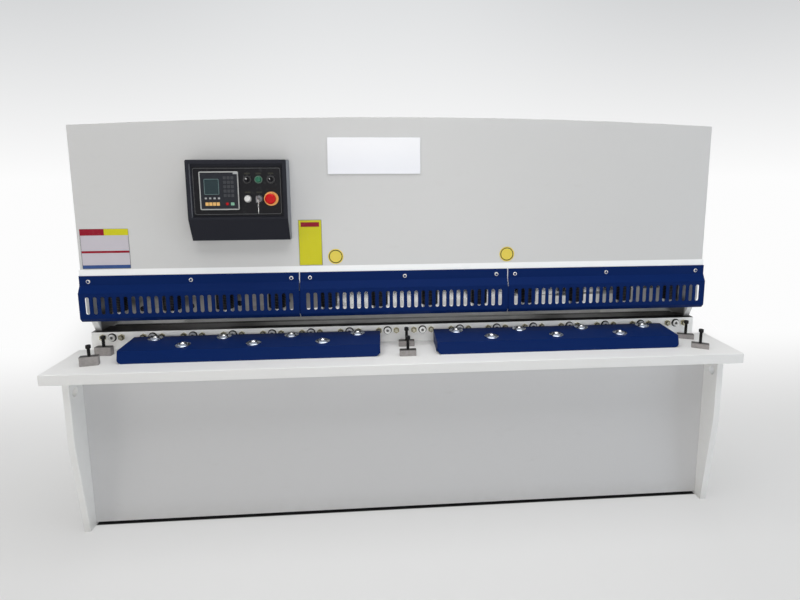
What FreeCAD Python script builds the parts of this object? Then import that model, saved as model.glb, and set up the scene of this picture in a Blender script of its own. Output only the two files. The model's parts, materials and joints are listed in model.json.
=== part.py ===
import FreeCAD, Part
import math
import os

os.makedirs("parts", exist_ok=True)
V = FreeCAD.Vector

# Hydraulic swing beam shear. Millimetres, +Z up, operator at -Y.
# Depths run back from the front edge of the table. place() moves every piece
# so that the origin lies on the floor under the middle of the machine.

# Whole machine
overall_depth = 1610.0
frame_half = 1282.0
table_top = 681.0

# Side frames, one thick plate each
side_thick = 25.0
leg_toe = 79.5
leg_front = 31.5
leg_knee_share = 0.6
side_back_inset = 280.0
side_back_drop = 452.0
side_top_drop = 14.0
side_top_long = 513.0
throat_cut = 53.0
throat_rise = 96.0
arch_height = 70.0
arch_front = 330.0
arch_back_inset = 210.0
arch_round = 60.0
profile_round = 40.0
lift_hole_y = 68.0
lift_hole_drop = 53.0
lift_hole_r = 17.0

# Foot plates with anchor holes
foot_long = 150.0
foot_width = 90.0
foot_thick = 20.0
foot_inset = 60.5
anchor_r = 12.0

# Table, its apron and the beam under it
table_wing = 64.0
table_thick = 40.0
table_depth = 281.0
table_corner = 5.0
apron_front = 120.0
apron_thick = 10.0
apron_gap = 13.0
web_thick = 40.0
web_high = 341.0
flange_depth = 140.0
flange_thick = 20.0
rib_count = 6
rib_thick = 12.0

# Blade rail on the table, its screws, and the lower blade
rail_wing = 10.0
rail_depth = 90.0
rail_rise = 73.0
rail_edge = 2.0
screw_group_count = 16
screw_end = 82.4
screw_middle = 75.0
screw_pitch = 37.5
screw_drop = 24.0
screw_head_r = 14.0
screw_head_long = 9.0
screw_socket_r = 7.0
nut_r = 13.5
nut_long = 6.0
stud_r = 7.5
stud_long = 5.0
blade_thick = 22.0
blade_height = 80.0

# Finger guards, three folded sections side by side
guard_wing = 9.0
guard_count = 3
guard_sheet = 2.0
guard_gap = 4.0
guard_bend_r = 4.0
feed_gap = 61.0
guard_curl = 15.0
guard_curl_back = 13.0
guard_face_high = 103.0
guard_slope_high = 29.0
guard_slope_out = 17.0
guard_flange_high = 38.0
slot_count = 28
slot_width = 15.0
slot_long = 71.0
slot_lift = 17.0
slot_margin = 32.0

# Front panel with an arched top edge and a stepped lip over the guards
panel_wing = 4.0
panel_overhang = 46.0
panel_thick = 12.0
lip_gap = 4.0
lip_high = 20.0
lip_out = 4.0
panel_below_guard = 45.0
panel_high = 562.0
panel_crown = 34.0

# Hold-downs
holddown_count = 12
holddown_end = 68.0
holddown_inset = 33.0
holddown_r = 36.0
holddown_collar_r = 46.0
holddown_collar_high = 14.0
holddown_long = 149.0
carrier_rise = 1.0
carrier_high = 40.0
carrier_back = 7.0
foot_clear = 24.0
foot_high = 22.0
foot_r = 28.0
foot_edge = 3.0
plunger_r = 22.0
plunger_long = 138.0
running_play = 0.1

# Ball trays on the table, one each side of the middle
tray_inner = 114.0
tray_margin = 224.0
tray_slide = 7.0
tray_front = 95.0
tray_lean = 12.0
tray_rail_gap = 15.0
tray_front_high = 47.0
tray_back_high = 53.0
tray_sheet = 3.0
tray_corner = 6.0
tray_flap_round = 23.0
ball_columns = 4
ball_margin = 94.0
ball_row_back = 26.0
ball_row_front = 109.0
ball_r = 13.0
ball_flange_r = 29.0
ball_flange_thick = 3.0
ball_cup_r = 19.0
ball_cup_high = 8.0
ball_cup_edge = 4.0

# Seats for support arms with their screws: side of the table, slide, depth, turn, height
seat_from_end = 136.0
seat_long = 66.0
seat_deep = 27.0
seat_edge = 4.0
seat_spots = [(-1, 0.0, 97.0, 12.0, 36.0), (-1, 0.0, 209.0, -3.0, 35.0),
              (0, 3.0, 101.0, 0.0, 24.0), (0, 3.0, 217.0, 0.0, 24.0),
              (1, 0.0, 84.0, -30.0, 20.0), (1, 8.0, 209.0, -22.0, 20.0)]
seat_screw_top = 79.0
seat_screw_r = 6.0
seat_head_r = 9.5
seat_head_long = 12.0
seat_socket_r = 5.0

# Swing beam, upper blade and pivots
pivot_inset = 200.0
pivot_rise = 46.0
pivot_r = 40.0
cap_r = 85.0
cap_thick = 16.0
cap_bolt_count = 6
cap_bolt_r = 8.0
cap_bolt_long = 9.0
cap_bolt_inset = 20.0
boss_r = 85.0
boss_inward = 20.0
blade_gap = 7.0
blade_open = 20.0
blade_rake = 92.0
blade_inset = 5.0
beam_play = 12.0
beam_front_thick = 50.0
beam_rise = 286.0
beam_plate = 16.0
beam_floor_rise = 118.0
beam_depth = 312.0
beam_tail_rise = 176.0
beam_rib_count = 7
arm_thick = 40.0
blade_seat_play = 4.0
arm_shoulder = 20.0
arm_neck = 0.9
arm_nose = 0.6
pad_r = 60.0
pad_rise = 16.0

# Rams and the shelf that carries them
ram_inset = 92.0
ram_behind = 127.0
ram_r = 62.0
ram_below_shelf = 75.0
ram_above_shelf = 190.0
ram_flange_r = 85.0
ram_flange_thick = 22.0
ram_wall_top = 30.0
rod_r = 36.0
rod_nose_r = 60.0
rod_gap = 0.3
rod_spare = 60.0
shelf_rise = 140.0
shelf_thick = 30.0
shelf_depth = 453.0

# Hydraulic unit and electric cabinet on the shelf
tank_share = 0.334
tank_front_gap = 53.0
tank_depth = 340.0
tank_high = 280.0
tank_round = 25.0
tank_lid_thick = 8.0
tank_lid_over = 12.0
filler_r = 34.0
filler_high = 45.0
pump_long = 130.0
pump_half = 50.0
motor_long = 310.0
motor_r = 95.0
motor_lift = 30.0
motor_fins = 18
fin_high = 12.0
fin_thick = 6.0
motor_foot_share = 0.6
cabinet_gap = 100.0
cabinet_share = 0.43
cabinet_depth = 250.0
cabinet_high = 330.0
door_margin = 14.0
door_thick = 4.0

# Rear ties, chute and back gauge
tie_depth = 80.0
tie_wall = 10.0
low_tie_inset = 10.0
low_tie_low = 420.0
low_tie_high = 140.0
top_tie_gap = 200.0
top_tie_rise = 50.0
top_tie_high = 120.0
chute_sheet = 4.0
chute_drop = 81.0
chute_fall = 390.0
chute_lip = 30.0
chute_back_inset = 150.0
gauge_rail_share = 0.6
gauge_rail_width = 60.0
gauge_rail_wall = 6.0
gauge_rail_start = 40.0
gauge_bar_back = 302.0
gauge_bar_inset = 60.0
gauge_bar_high = 44.0
gauge_bar_thick = 16.0
gauge_bar_deep = 90.0
gauge_screw_r = 12.5
gauge_screw_clear = 9.0
gauge_end_thick = 14.0
gauge_end_high = 90.0

# Control box, measured from its own left and lower edges
box_from_edge = 453.0
box_from_lip = 115.0
box_width = 377.0
box_high = 314.0
box_deep = 73.0
box_chin_high = 87.0
box_chin_deep = 35.0
box_sheet = 2.5
box_round = 6.0
recess_side = 15.0
recess_low = 94.0
recess_high = 205.0
recess_deep = 10.0
face_margin = 7.0
face_drop = 5.0
face_thick = 3.0
unit_left = 48.5
unit_low = 123.0
unit_size = 147.0
unit_rise = 7.0
unit_frame = 4.5
unit_sink = 2.0
unit_round = 5.0
column_x = [227.0, 270.0, 316.0]
row_z = [165.0, 238.5]
bezel_r = 15.0
bezel_rise = 4.0
cap_r_small = 10.5
button_play = 1.0
button_out = 9.0
button_edge = 1.5
grip_half = 3.5
grip_out = 14.0
head_out = 2.0
key_half = 1.5
key_blade_half = 5.0
key_blade_out = 30.0
key_bow_half = 12.0
key_bow_long = 16.0
collar_r = 27.0
collar_rise = 8.0
stop_head_r = 20.0
stop_head_deep = 18.0
stop_edge = 7.0
stop_press = 5.0
stop_play = 3.0
stem_long = 30.0

# Blank name plate, from the middle of the panel
name_centre = -120.0
name_width = 370.0
name_from_top = 80.0
name_high = 144.0
name_thick = 3.0

# How far off an edge may lie and still be picked for rounding
pick_reach = 1.0

# Widths
side_inner = frame_half - side_thick
table_half = frame_half + table_wing
rail_half = frame_half + rail_wing
panel_half = frame_half + panel_wing
guard_half = frame_half + guard_wing
beam_half = side_inner - beam_play
blade_half = beam_half - blade_inset
arm_inner = beam_half - arm_thick
ram_x = side_inner - ram_inset
tank_half = side_inner * tank_share
gauge_rail_x = side_inner * gauge_rail_share

# Depths
rail_front = table_depth
rail_back = rail_front + rail_depth
cut_plane = rail_back + blade_thick
beam_front = cut_plane + blade_gap
plate_back = beam_front + beam_front_thick
beam_tail = plate_back + beam_depth
panel_front = rail_front - panel_overhang
panel_back = panel_front + panel_thick
guard_back = panel_front - lip_out
guard_front = guard_back - guard_sheet
guard_face = guard_front - guard_slope_out
holddown_y = rail_front + holddown_inset
side_back = overall_depth - side_back_inset
pivot_y = side_back - pivot_inset
ram_y = plate_back + ram_behind
tray_back = rail_front - tray_rail_gap
tray_fold = tray_front + tray_lean
shelf_back = panel_back + shelf_depth
tank_front = panel_back + tank_front_gap
tank_back = tank_front + tank_depth

# Heights
table_low = table_top - table_thick
rail_top = table_top + rail_rise
guard_bottom = rail_top + feed_gap
guard_face_low = guard_bottom + guard_curl
guard_face_top = guard_face_low + guard_face_high
guard_bend = guard_face_top + guard_slope_high
guard_top = guard_bend + guard_flange_high
lip_bottom = guard_top + lip_gap
lip_top = lip_bottom + lip_high
panel_bottom = guard_top - panel_below_guard
panel_corner_top = lip_top + panel_high
pivot_z = rail_top + pivot_rise
blade_low = rail_top + blade_open
beam_high = rail_top + beam_rise
beam_floor = rail_top + beam_floor_rise
beam_tail_high = rail_top + beam_tail_rise
carrier_top = lip_top + carrier_rise
carrier_low = carrier_top - carrier_high
holddown_low = carrier_low - holddown_long
foot_low = holddown_low - foot_clear
shelf_low = beam_high + shelf_rise
shelf_high = shelf_low + shelf_thick
pad_top = beam_high + pad_rise


def block(x0, x1, y0, y1, z0, z1):
    return Part.makeBox(x1 - x0, y1 - y0, z1 - z0, V(x0, y0, z0))


def closed(points):
    return Part.Face(Part.makePolygon(points + points[:1]))


def along_x(outline, x0, x1):
    return closed([V(x0, y, z) for y, z in outline]).extrude(V(x1 - x0, 0, 0))


def along_y(outline, y0, y1):
    return closed([V(x, y0, z) for x, z in outline]).extrude(V(0, y1 - y0, 0))


def bar_x(x0, x1, y, z, radius):
    return Part.makeCylinder(radius, x1 - x0, V(x0, y, z), V(1, 0, 0))


def bar_y(x, y0, y1, z, radius):
    return Part.makeCylinder(radius, y1 - y0, V(x, y0, z), V(0, 1, 0))


def bar_z(x, y, z0, z1, radius):
    return Part.makeCylinder(radius, z1 - z0, V(x, y, z0), V(0, 0, 1))


def hexagon(u, v, radius):
    corners = [math.radians(30 + 60 * k) for k in range(6)]
    return [(u + radius * math.cos(a), v + radius * math.sin(a)) for a in corners]


def mirrored(shape):
    return shape.mirror(V(0, 0, 0), V(1, 0, 0))


def spread(count, reach):
    # Evenly spaced places from -reach to +reach.
    return [-reach + 2 * reach * k / (count - 1) for k in range(count)]


def rounded(shape, radius, direction, spots):
    # Fillets the straight edges that run along a direction through the given spots.
    found = []
    for edge in shape.Edges:
        if edge.Curve.TypeId != "Part::GeomLine":
            continue
        start = edge.Vertexes[0].Point
        run = edge.Vertexes[-1].Point - start
        if abs(run.normalize().dot(direction)) < 0.999:
            continue
        for spot in spots:
            off = start - spot
            off = off - direction * off.dot(direction)
            if off.Length < pick_reach:
                found.append(edge)
                break
    return shape.makeFillet(radius, found)


def rounded_x(shape, radius, corners):
    return rounded(shape, radius, V(1, 0, 0), [V(0, y, z) for y, z in corners])


def rounded_y(shape, radius, corners):
    return rounded(shape, radius, V(0, 1, 0), [V(x, 0, z) for x, z in corners])


def rounded_z(shape, radius, corners):
    return rounded(shape, radius, V(0, 0, 1), [V(x, y, 0) for x, y in corners])


def folded(line, sheet, bend_r, x0, x1):
    # Sheet bent along a line of (depth, height) points. Its other face lies behind the line.
    behind = []
    for k, (y, z) in enumerate(line):
        before = line[max(k - 1, 0)]
        after = line[min(k + 1, len(line) - 1)]
        normals = []
        for start, end in ((before, (y, z)), ((y, z), after)):
            run = math.hypot(end[0] - start[0], end[1] - start[1])
            if run > 0:
                normals.append((-(end[1] - start[1]) / run, (end[0] - start[0]) / run))
        ny = sum(n[0] for n in normals)
        nz = sum(n[1] for n in normals)
        reach = sheet / math.hypot(ny, nz) / math.hypot(ny, nz) * len(normals)
        behind.append((y + ny * reach, z + nz * reach))
    body = along_x(line + behind[::-1], x0, x1)
    for k in range(1, len(line) - 1):
        (y0, z0), (y1, z1), (y2, z2) = line[k - 1:k + 2]
        bulges_out = (y1 - y0) * (z2 - z1) - (z1 - z0) * (y2 - y1) > 0
        body = rounded_x(body, bend_r + sheet * bulges_out, [line[k]])
        body = rounded_x(body, bend_r + sheet * (not bulges_out), [behind[k]])
    return body


def low_edges(shape, level):
    return [e for e in shape.Edges if e.BoundBox.ZMax < level]


def place(name, *shapes):
    solids = []
    for shape in shapes:
        for solid in shape.Solids:
            moved = solid.copy()
            moved.translate(V(0, -overall_depth / 2, 0))
            solids.append(moved)
    whole = solids[0] if len(solids) == 1 else Part.makeCompound(solids)
    whole.exportStep("parts/" + name + ".step")


# Side frames: throat in front, arch between the feet, slanting top at the back
panel_crown_top = panel_corner_top + panel_crown
side_top = panel_corner_top - side_top_drop
side_top_back = panel_back + side_top_long
side_back_top = side_top - side_back_drop
throat_low = panel_back + throat_cut
throat_high = rail_top + throat_rise
arch_back = side_back - arch_back_inset
side_outline = [
    (leg_toe, 0), (arch_front, 0), (arch_front, arch_height), (arch_back, arch_height),
    (arch_back, 0), (side_back, 0), (side_back, side_back_top), (side_top_back, side_top),
    (panel_back, side_top), (panel_back, throat_high), (throat_low, rail_top),
    (rail_back, rail_top), (rail_back, table_low), (leg_front, table_low),
    (leg_front, table_low * leg_knee_share)]
side = along_x(side_outline, side_inner, frame_half)
side = rounded_x(side, arch_round, [(arch_front, arch_height), (arch_back, arch_height)])
side = rounded_x(side, profile_round, [(side_back, side_back_top), (side_top_back, side_top)])
lift_hole_z = table_low - lift_hole_drop
side = side.cut(bar_x(side_inner, frame_half, lift_hole_y, lift_hole_z, lift_hole_r))
side = side.cut(bar_x(side_inner, frame_half, pivot_y, pivot_z, pivot_r))
place("right_side_frame", side)
place("left_side_frame", mirrored(side))

# Foot plates, welded to the inner faces of the side frames
feet = []
for foot_y in (leg_toe + foot_inset, side_back - foot_inset - foot_long):
    foot = block(side_inner - foot_width, side_inner, foot_y, foot_y + foot_long, 0, foot_thick)
    foot = foot.cut(bar_z(side_inner - foot_width / 2, foot_y + foot_long / 2, 0, foot_thick, anchor_r))
    feet += [foot, mirrored(foot)]
place("foot_plates", *feet)

# Table top and apron
table = block(-table_half, table_half, 0, table_depth, table_low, table_top)
place("work_table", rounded_z(table, table_corner, [(-table_half, 0), (table_half, 0)]))
apron_back = apron_front + apron_thick
place("front_apron", block(-side_inner, side_inner, apron_front, apron_back, apron_gap, table_low))

# Table beam: web, foot flange and slanting ribs behind the apron
web_front = rail_back - web_thick
web_low = table_low - web_high
flange_front = rail_back - flange_depth
under = block(-side_inner, side_inner, web_front, rail_back, web_low, table_low)
under = under.fuse(block(-side_inner, side_inner, flange_front, rail_back, web_low - flange_thick, web_low))
rib_outline = [(apron_back, table_low), (web_front, table_low), (web_front, web_low), (flange_front, web_low)]
for rib_x in spread(rib_count + 2, side_inner)[1:-1]:
    under = under.fuse(along_x(rib_outline, rib_x - rib_thick / 2, rib_x + rib_thick / 2))
place("table_beam", under.removeSplitter())

# Blade rail with broken front edge
rail = block(-rail_half, rail_half, rail_front, rail_back, table_low, rail_top)
ridge = [e for e in rail.Edges if e.BoundBox.XLength > rail_half
         and e.BoundBox.YMax < rail_front + pick_reach and e.BoundBox.ZMin > rail_top - pick_reach]
place("blade_rail", rail.makeChamfer(rail_edge, ridge))

# Rail screws: a cap screw between two studs with lock nuts in every group
screw_z = rail_top - screw_drop
screw_face = rail_front - screw_head_long
nut_face = rail_front - nut_long
side_groups = screw_group_count // 2
group_pitch = (rail_half - screw_end - screw_middle) / (side_groups - 1)
group_places = [s * (screw_middle + k * group_pitch) for s in (-1, 1) for k in range(side_groups)]
screws = []
for group_x in group_places:
    head = bar_y(group_x, screw_face, rail_front, screw_z, screw_head_r)
    socket = along_y(hexagon(group_x, screw_z, screw_socket_r), screw_face, rail_front - screw_head_long / 2)
    screws.append(head.cut(socket))
    for stud_x in (group_x - screw_pitch, group_x + screw_pitch):
        nut = along_y(hexagon(stud_x, screw_z, nut_r), nut_face, rail_front)
        screws.append(nut.fuse(bar_y(stud_x, nut_face - stud_long, nut_face, screw_z, stud_r)))
place("rail_screws", *screws)

# Lower blade against the back of the rail
place("lower_blade", block(-blade_half, blade_half, rail_back, cut_plane, rail_top - blade_height, rail_top))

# Front panel: arched top edge, and a stepped foot that carries the guards
arch_ends = [V(s * panel_half, panel_front, panel_corner_top) for s in (-1, 1)]
arch = Part.Arc(arch_ends[0], V(0, panel_front, panel_crown_top), arch_ends[1]).toShape()
panel_sides = Part.makePolygon([arch_ends[1], V(panel_half, panel_front, lip_top),
                                V(-panel_half, panel_front, lip_top), arch_ends[0]])
panel = Part.Face(Part.Wire([arch] + panel_sides.Edges)).extrude(V(0, panel_thick, 0))
panel_foot = along_x([(panel_back, panel_bottom), (guard_back, panel_bottom), (guard_back, lip_bottom),
                      (panel_front, lip_top), (panel_back, lip_top)], -guard_half, guard_half)
place("front_panel", panel.fuse(panel_foot).removeSplitter())

# Finger guards: folded sheet with bend radii and a row of slots with round ends
guard_line = [(guard_front, guard_top), (guard_front, guard_bend), (guard_face, guard_face_top),
              (guard_face, guard_face_low), (guard_face + guard_curl_back, guard_bottom)]
guard_long = (2 * guard_half - (guard_count - 1) * guard_gap) / guard_count
slot_r = slot_width / 2
slot_low = guard_face_low + slot_lift
slot_high = slot_low + slot_long
for k, side_name in enumerate(("left", "centre", "right")):
    guard_x = -guard_half + k * (guard_long + guard_gap)
    guard = folded(guard_line, guard_sheet, guard_bend_r, guard_x, guard_x + guard_long)
    slots = []
    for from_middle in spread(slot_count, guard_long / 2 - slot_margin):
        slot_x = guard_x + guard_long / 2 + from_middle
        slot = block(slot_x - slot_r, slot_x + slot_r, guard_face, guard_face + guard_sheet,
                     slot_low, slot_high)
        round_ends = [(slot_x + s * slot_r, z) for s in (-1, 1) for z in (slot_low, slot_high)]
        slots.append(rounded_y(slot, slot_r - 0.01, round_ends))
    place("finger_guard_" + side_name, guard.cut(Part.makeCompound(slots)))

# Hold-down carrier, cylinders with collars, and plungers with feet
place("holddown_carrier", block(-side_inner, side_inner, panel_back, rail_back - carrier_back,
                                carrier_low, carrier_top))
cylinders = []
plungers = []
for down_x in spread(holddown_count, side_inner - holddown_end):
    body = bar_z(down_x, holddown_y, holddown_low, carrier_low, holddown_r)
    body = body.makeFillet(foot_edge, low_edges(body, holddown_low + pick_reach))
    body = body.fuse(bar_z(down_x, holddown_y, carrier_low - holddown_collar_high, carrier_low,
                           holddown_collar_r)).removeSplitter()
    plunger_top = foot_low + plunger_long
    bore = bar_z(down_x, holddown_y, holddown_low, plunger_top + foot_edge, plunger_r + running_play)
    cylinders.append(body.cut(bore))
    foot = bar_z(down_x, holddown_y, foot_low, foot_low + foot_high, foot_r)
    foot = foot.makeChamfer(foot_edge, low_edges(foot, foot_low + pick_reach))
    stem = bar_z(down_x, holddown_y, foot_low + foot_high, plunger_top, plunger_r)
    plungers.append(foot.fuse(stem).removeSplitter())
place("holddown_cylinders", *cylinders)
place("holddown_plungers", *plungers)

# Ball trays: folded boxes of sheet, open below, with a front flap rounded at its lower corners
tray_outer = table_half - tray_margin
tray_front_z = table_top + tray_front_high
tray_back_z = table_top + tray_back_high


def tray_box(inset):
    # The box, or with an inset its hollow.
    outline = [(tray_front + inset, table_top), (tray_fold + inset, tray_front_z - inset),
               (tray_back - inset, tray_back_z - inset), (tray_back - inset, table_top)]
    box = along_x(outline, tray_inner + inset, tray_outer - inset)
    corners = []
    for edge in box.Edges:
        steep = edge.BoundBox.ZLength > tray_front_high / 2
        if steep and edge.BoundBox.YMax < tray_fold + inset + pick_reach:
            corners.append(edge)
    return box.makeFillet(tray_corner - inset, corners)


def flap_corner(x, inward):
    # What is cut off the flap at one of its lower corners.
    reach = x + inward * tray_flap_round
    off = block(min(x, reach), max(x, reach), tray_front, tray_fold + tray_flap_round,
                table_top, table_top + tray_flap_round)
    return off.cut(bar_y(reach, tray_front, tray_fold + tray_flap_round,
                         table_top + tray_flap_round, tray_flap_round))


tray = tray_box(0).cut(tray_box(tray_sheet))
tray = tray.cut(flap_corner(tray_inner, 1)).cut(flap_corner(tray_outer, -1))

# Ball units: pressed flange, cup and ball, leaning with the tray top
ball_back_y = tray_back - ball_row_back
ball_front_y = tray_back - ball_row_front
columns = [tray_inner + ball_margin, tray_outer - ball_margin]
ball_pitch = (columns[1] - columns[0]) / (ball_columns - 1)
ball_spots = [(columns[0] + k * ball_pitch, ball_back_y) for k in range(ball_columns)]
ball_spots += [(columns[0] + (k + 0.5) * ball_pitch, ball_front_y) for k in range(ball_columns - 1)]
tray_rise = (tray_back_z - tray_front_z) / (tray_back - tray_fold)
units = []
for ball_x, ball_y in ball_spots:
    level = tray_front_z + (ball_y - tray_fold) * tray_rise
    flange_top = level + ball_flange_thick
    cup_top = flange_top + ball_cup_high
    flange = bar_z(ball_x, ball_y, level, flange_top, ball_flange_r)
    cup = bar_z(ball_x, ball_y, level, cup_top, ball_cup_r)
    cup = cup.makeChamfer(ball_cup_edge, [e for e in cup.Edges if e.BoundBox.ZMin > cup_top - pick_reach])
    ball = Part.makeSphere(ball_r, V(ball_x, ball_y, cup_top - ball_cup_edge))
    unit = flange.fuse(cup).fuse(ball)
    unit = unit.cut(bar_z(ball_x, ball_y, level - 2 * ball_r, level, ball_flange_r))
    unit.rotate(V(ball_x, ball_y, level), V(1, 0, 0), math.degrees(math.atan(tray_rise)))
    units.append(unit)
trays = [tray, mirrored(tray)]
all_units = units + [mirrored(u) for u in units]
for shape in trays + all_units:
    shape.translate(V(tray_slide, 0, 0))
place("ball_trays", *trays)
place("ball_units", *all_units)

# Seats for support arms, as the last user left them, with socket screws
seats = []
seat_screws = []
screw_top = table_top + seat_screw_top
for seat_side, seat_slide, seat_y, seat_turn, seat_high in seat_spots:
    seat_x = seat_side * (table_half - seat_from_end) + seat_slide
    seat_top = table_top + seat_high
    seat = block(seat_x - seat_long / 2, seat_x + seat_long / 2, seat_y - seat_deep / 2,
                 seat_y + seat_deep / 2, table_top, seat_top)
    ends = [(seat_x + s * seat_long / 2, seat_y + t * seat_deep / 2) for s in (-1, 1) for t in (-1, 1)]
    seat = rounded_z(seat, seat_edge, ends)
    seat.rotate(V(seat_x, seat_y, 0), V(0, 0, 1), seat_turn)
    seats.append(seat)
    shank = bar_z(seat_x, seat_y, seat_top, screw_top - seat_head_long, seat_screw_r)
    head = bar_z(seat_x, seat_y, screw_top - seat_head_long, screw_top, seat_head_r)
    key = closed([V(x, y, screw_top - seat_head_long / 2) for x, y in hexagon(seat_x, seat_y, seat_socket_r)])
    head = head.cut(key.extrude(V(0, 0, seat_head_long / 2)))
    seat_screws.append(shank.fuse(head))
place("support_seats", *seats)
place("seat_screws", *seat_screws)


def cutting_edge(x, offset=0.0):
    # A point of the upper blade's edge, or a line parallel to it.
    return (x, blade_low + (blade_half + x) * blade_rake / (2 * blade_half) + offset)


# Upper blade, lowest at its left end and raked up to the right
upper_blade = [cutting_edge(-blade_half), cutting_edge(blade_half),
               cutting_edge(blade_half, blade_height), cutting_edge(-blade_half, blade_height)]
place("upper_blade", along_y(upper_blade, beam_front, beam_front + blade_thick))

# Swing beam: front plate with a blade seat and a closed box behind it
plate_outline = [cutting_edge(-beam_half, blade_seat_play), cutting_edge(beam_half, blade_seat_play),
                 (beam_half, beam_high), (-beam_half, beam_high)]
blade_seat = [cutting_edge(-beam_half, -blade_seat_play), cutting_edge(beam_half, -blade_seat_play),
              cutting_edge(beam_half, blade_height), cutting_edge(-beam_half, blade_height)]
front_plate = along_y(plate_outline, beam_front, plate_back)
front_plate = front_plate.cut(along_y(blade_seat, beam_front, beam_front + blade_thick))
floor_low = max(beam_floor, cutting_edge(beam_half, blade_seat_play)[1])
beam_box = [(plate_back, floor_low), (beam_tail, floor_low), (beam_tail, beam_tail_high),
            (plate_back, beam_high)]
hollow = [(plate_back, floor_low + beam_plate), (beam_tail - beam_plate, floor_low + beam_plate),
          (beam_tail - beam_plate, beam_tail_high - beam_plate), (plate_back, beam_high - beam_plate)]
box_form = along_x(beam_box, -arm_inner, arm_inner)
box = box_form
cells = spread(beam_rib_count + 2, arm_inner)
for left, right in zip(cells, cells[1:]):
    box = box.cut(along_x(hollow, left + rib_thick / 2, right - rib_thick / 2))
place("swing_beam", front_plate.fuse(box).removeSplitter())

# Arms of the beam: flame-cut plates with a boss at the pivot and a pad under the ram
arm_outline = [(plate_back, floor_low), (pivot_y, pivot_z - boss_r * arm_neck),
               (pivot_y + boss_r * arm_nose, pivot_z), (pivot_y, pivot_z + boss_r * arm_neck),
               (beam_tail, beam_tail_high + arm_shoulder), (plate_back, beam_high)]
arm = along_x(arm_outline, arm_inner, beam_half)
arm = arm.fuse(bar_x(arm_inner - boss_inward, beam_half, pivot_y, pivot_z, boss_r))
arm = arm.fuse(bar_z(ram_x, ram_y, beam_tail_high, pad_top, pad_r).cut(box_form))
arm = arm.cut(bar_x(arm_inner - boss_inward, beam_half, pivot_y, pivot_z, pivot_r + running_play))
arm = arm.removeSplitter()
place("beam_arms", arm, mirrored(arm))

# Pivot pins with bolted outer caps
cap_out = frame_half + cap_thick
pin = bar_x(arm_inner - boss_inward, frame_half, pivot_y, pivot_z, pivot_r)
pin = pin.fuse(bar_x(frame_half, cap_out, pivot_y, pivot_z, cap_r))
for k in range(cap_bolt_count):
    turn = 2 * math.pi * k / cap_bolt_count
    bolt_y = pivot_y + (cap_r - cap_bolt_inset) * math.cos(turn)
    bolt_z = pivot_z + (cap_r - cap_bolt_inset) * math.sin(turn)
    pin = pin.fuse(bar_x(cap_out, cap_out + cap_bolt_long, bolt_y, bolt_z, cap_bolt_r))
pin = pin.removeSplitter()
place("pivot_pins", pin, mirrored(pin))

# Ram shelf, ram cylinders, and rods with ball noses on the pads of the beam
shelf = block(-side_inner, side_inner, panel_back, shelf_back, shelf_low, shelf_high)
for x in (-ram_x, ram_x):
    shelf = shelf.cut(bar_z(x, ram_y, shelf_low, shelf_high, ram_r))
place("ram_shelf", shelf)
ram_top = shelf_high + ram_above_shelf
ram_low = shelf_low - ram_below_shelf
ram = bar_z(ram_x, ram_y, ram_low, ram_top, ram_r)
ram = ram.fuse(bar_z(ram_x, ram_y, shelf_high, shelf_high + ram_flange_thick, ram_flange_r))
ram = ram.cut(bar_z(ram_x, ram_y, ram_low, ram_top - ram_wall_top, rod_r + running_play)).removeSplitter()
place("ram_cylinders", ram, mirrored(ram))
rod_low = pad_top + rod_gap
rod = bar_z(ram_x, ram_y, rod_low, ram_top - rod_spare, rod_r)
nose = Part.makeSphere(rod_nose_r, V(ram_x, ram_y, rod_low + rod_nose_r))
rod_body = bar_z(ram_x, ram_y, rod_low + rod_nose_r, ram_top - rod_spare, rod_r)
rod = rod.common(nose).fuse(rod_body).removeSplitter()
place("ram_rods", rod, mirrored(rod))

# Oil tank with lid and filler
tank = block(-tank_half, tank_half, tank_front, tank_back, shelf_high, shelf_high + tank_high)
tank = rounded_z(tank, tank_round, [(x, y) for x in (-tank_half, tank_half)
                                    for y in (tank_front, tank_back)])
lid_low = shelf_high + tank_high
lid_top = lid_low + tank_lid_thick
lid = block(-tank_half - tank_lid_over, tank_half + tank_lid_over, tank_front - tank_lid_over,
            tank_back + tank_lid_over, lid_low, lid_top)
tank_y = (tank_front + tank_back) / 2
filler = bar_z(tank_half / 2, tank_y, lid_top, lid_top + filler_high, filler_r)
place("oil_tank", tank.fuse(lid).fuse(filler))

# Motor with cooling fins, pump towards the tank
motor_x = tank_half + pump_long
motor_end = motor_x + motor_long
motor_z = shelf_high + motor_r + motor_lift
fin_inset = motor_long / 8
motor = bar_x(motor_x, motor_end, tank_y, motor_z, motor_r)
for k in range(motor_fins):
    fin = block(motor_x + fin_inset, motor_end - fin_inset, tank_y - fin_thick / 2, tank_y + fin_thick / 2,
                motor_z + motor_r - fin_high, motor_z + motor_r + fin_high)
    fin.rotate(V(motor_x, tank_y, motor_z), V(1, 0, 0), 360.0 * k / motor_fins)
    motor = motor.fuse(fin)
motor_foot = block(motor_x + fin_inset, motor_end - fin_inset, tank_y - motor_r * motor_foot_share,
                   tank_y + motor_r * motor_foot_share, shelf_high, motor_z)
pump = block(tank_half, motor_x, tank_y - pump_half, tank_y + pump_half, motor_z - pump_half,
             motor_z + pump_half)
place("motor_pump", motor.fuse(motor_foot).fuse(pump).removeSplitter())

# Electric cabinet with its door to the rear
cabinet_right = -tank_half - cabinet_gap
cabinet_left = cabinet_right - side_inner * cabinet_share
cabinet_back = tank_front + cabinet_depth
cabinet = block(cabinet_left, cabinet_right, tank_front, cabinet_back, shelf_high, shelf_high + cabinet_high)
door = block(cabinet_left + door_margin, cabinet_right - door_margin, cabinet_back,
             cabinet_back + door_thick, shelf_high + door_margin, shelf_high + cabinet_high - door_margin)
place("electric_cabinet", cabinet.fuse(door))


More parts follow.
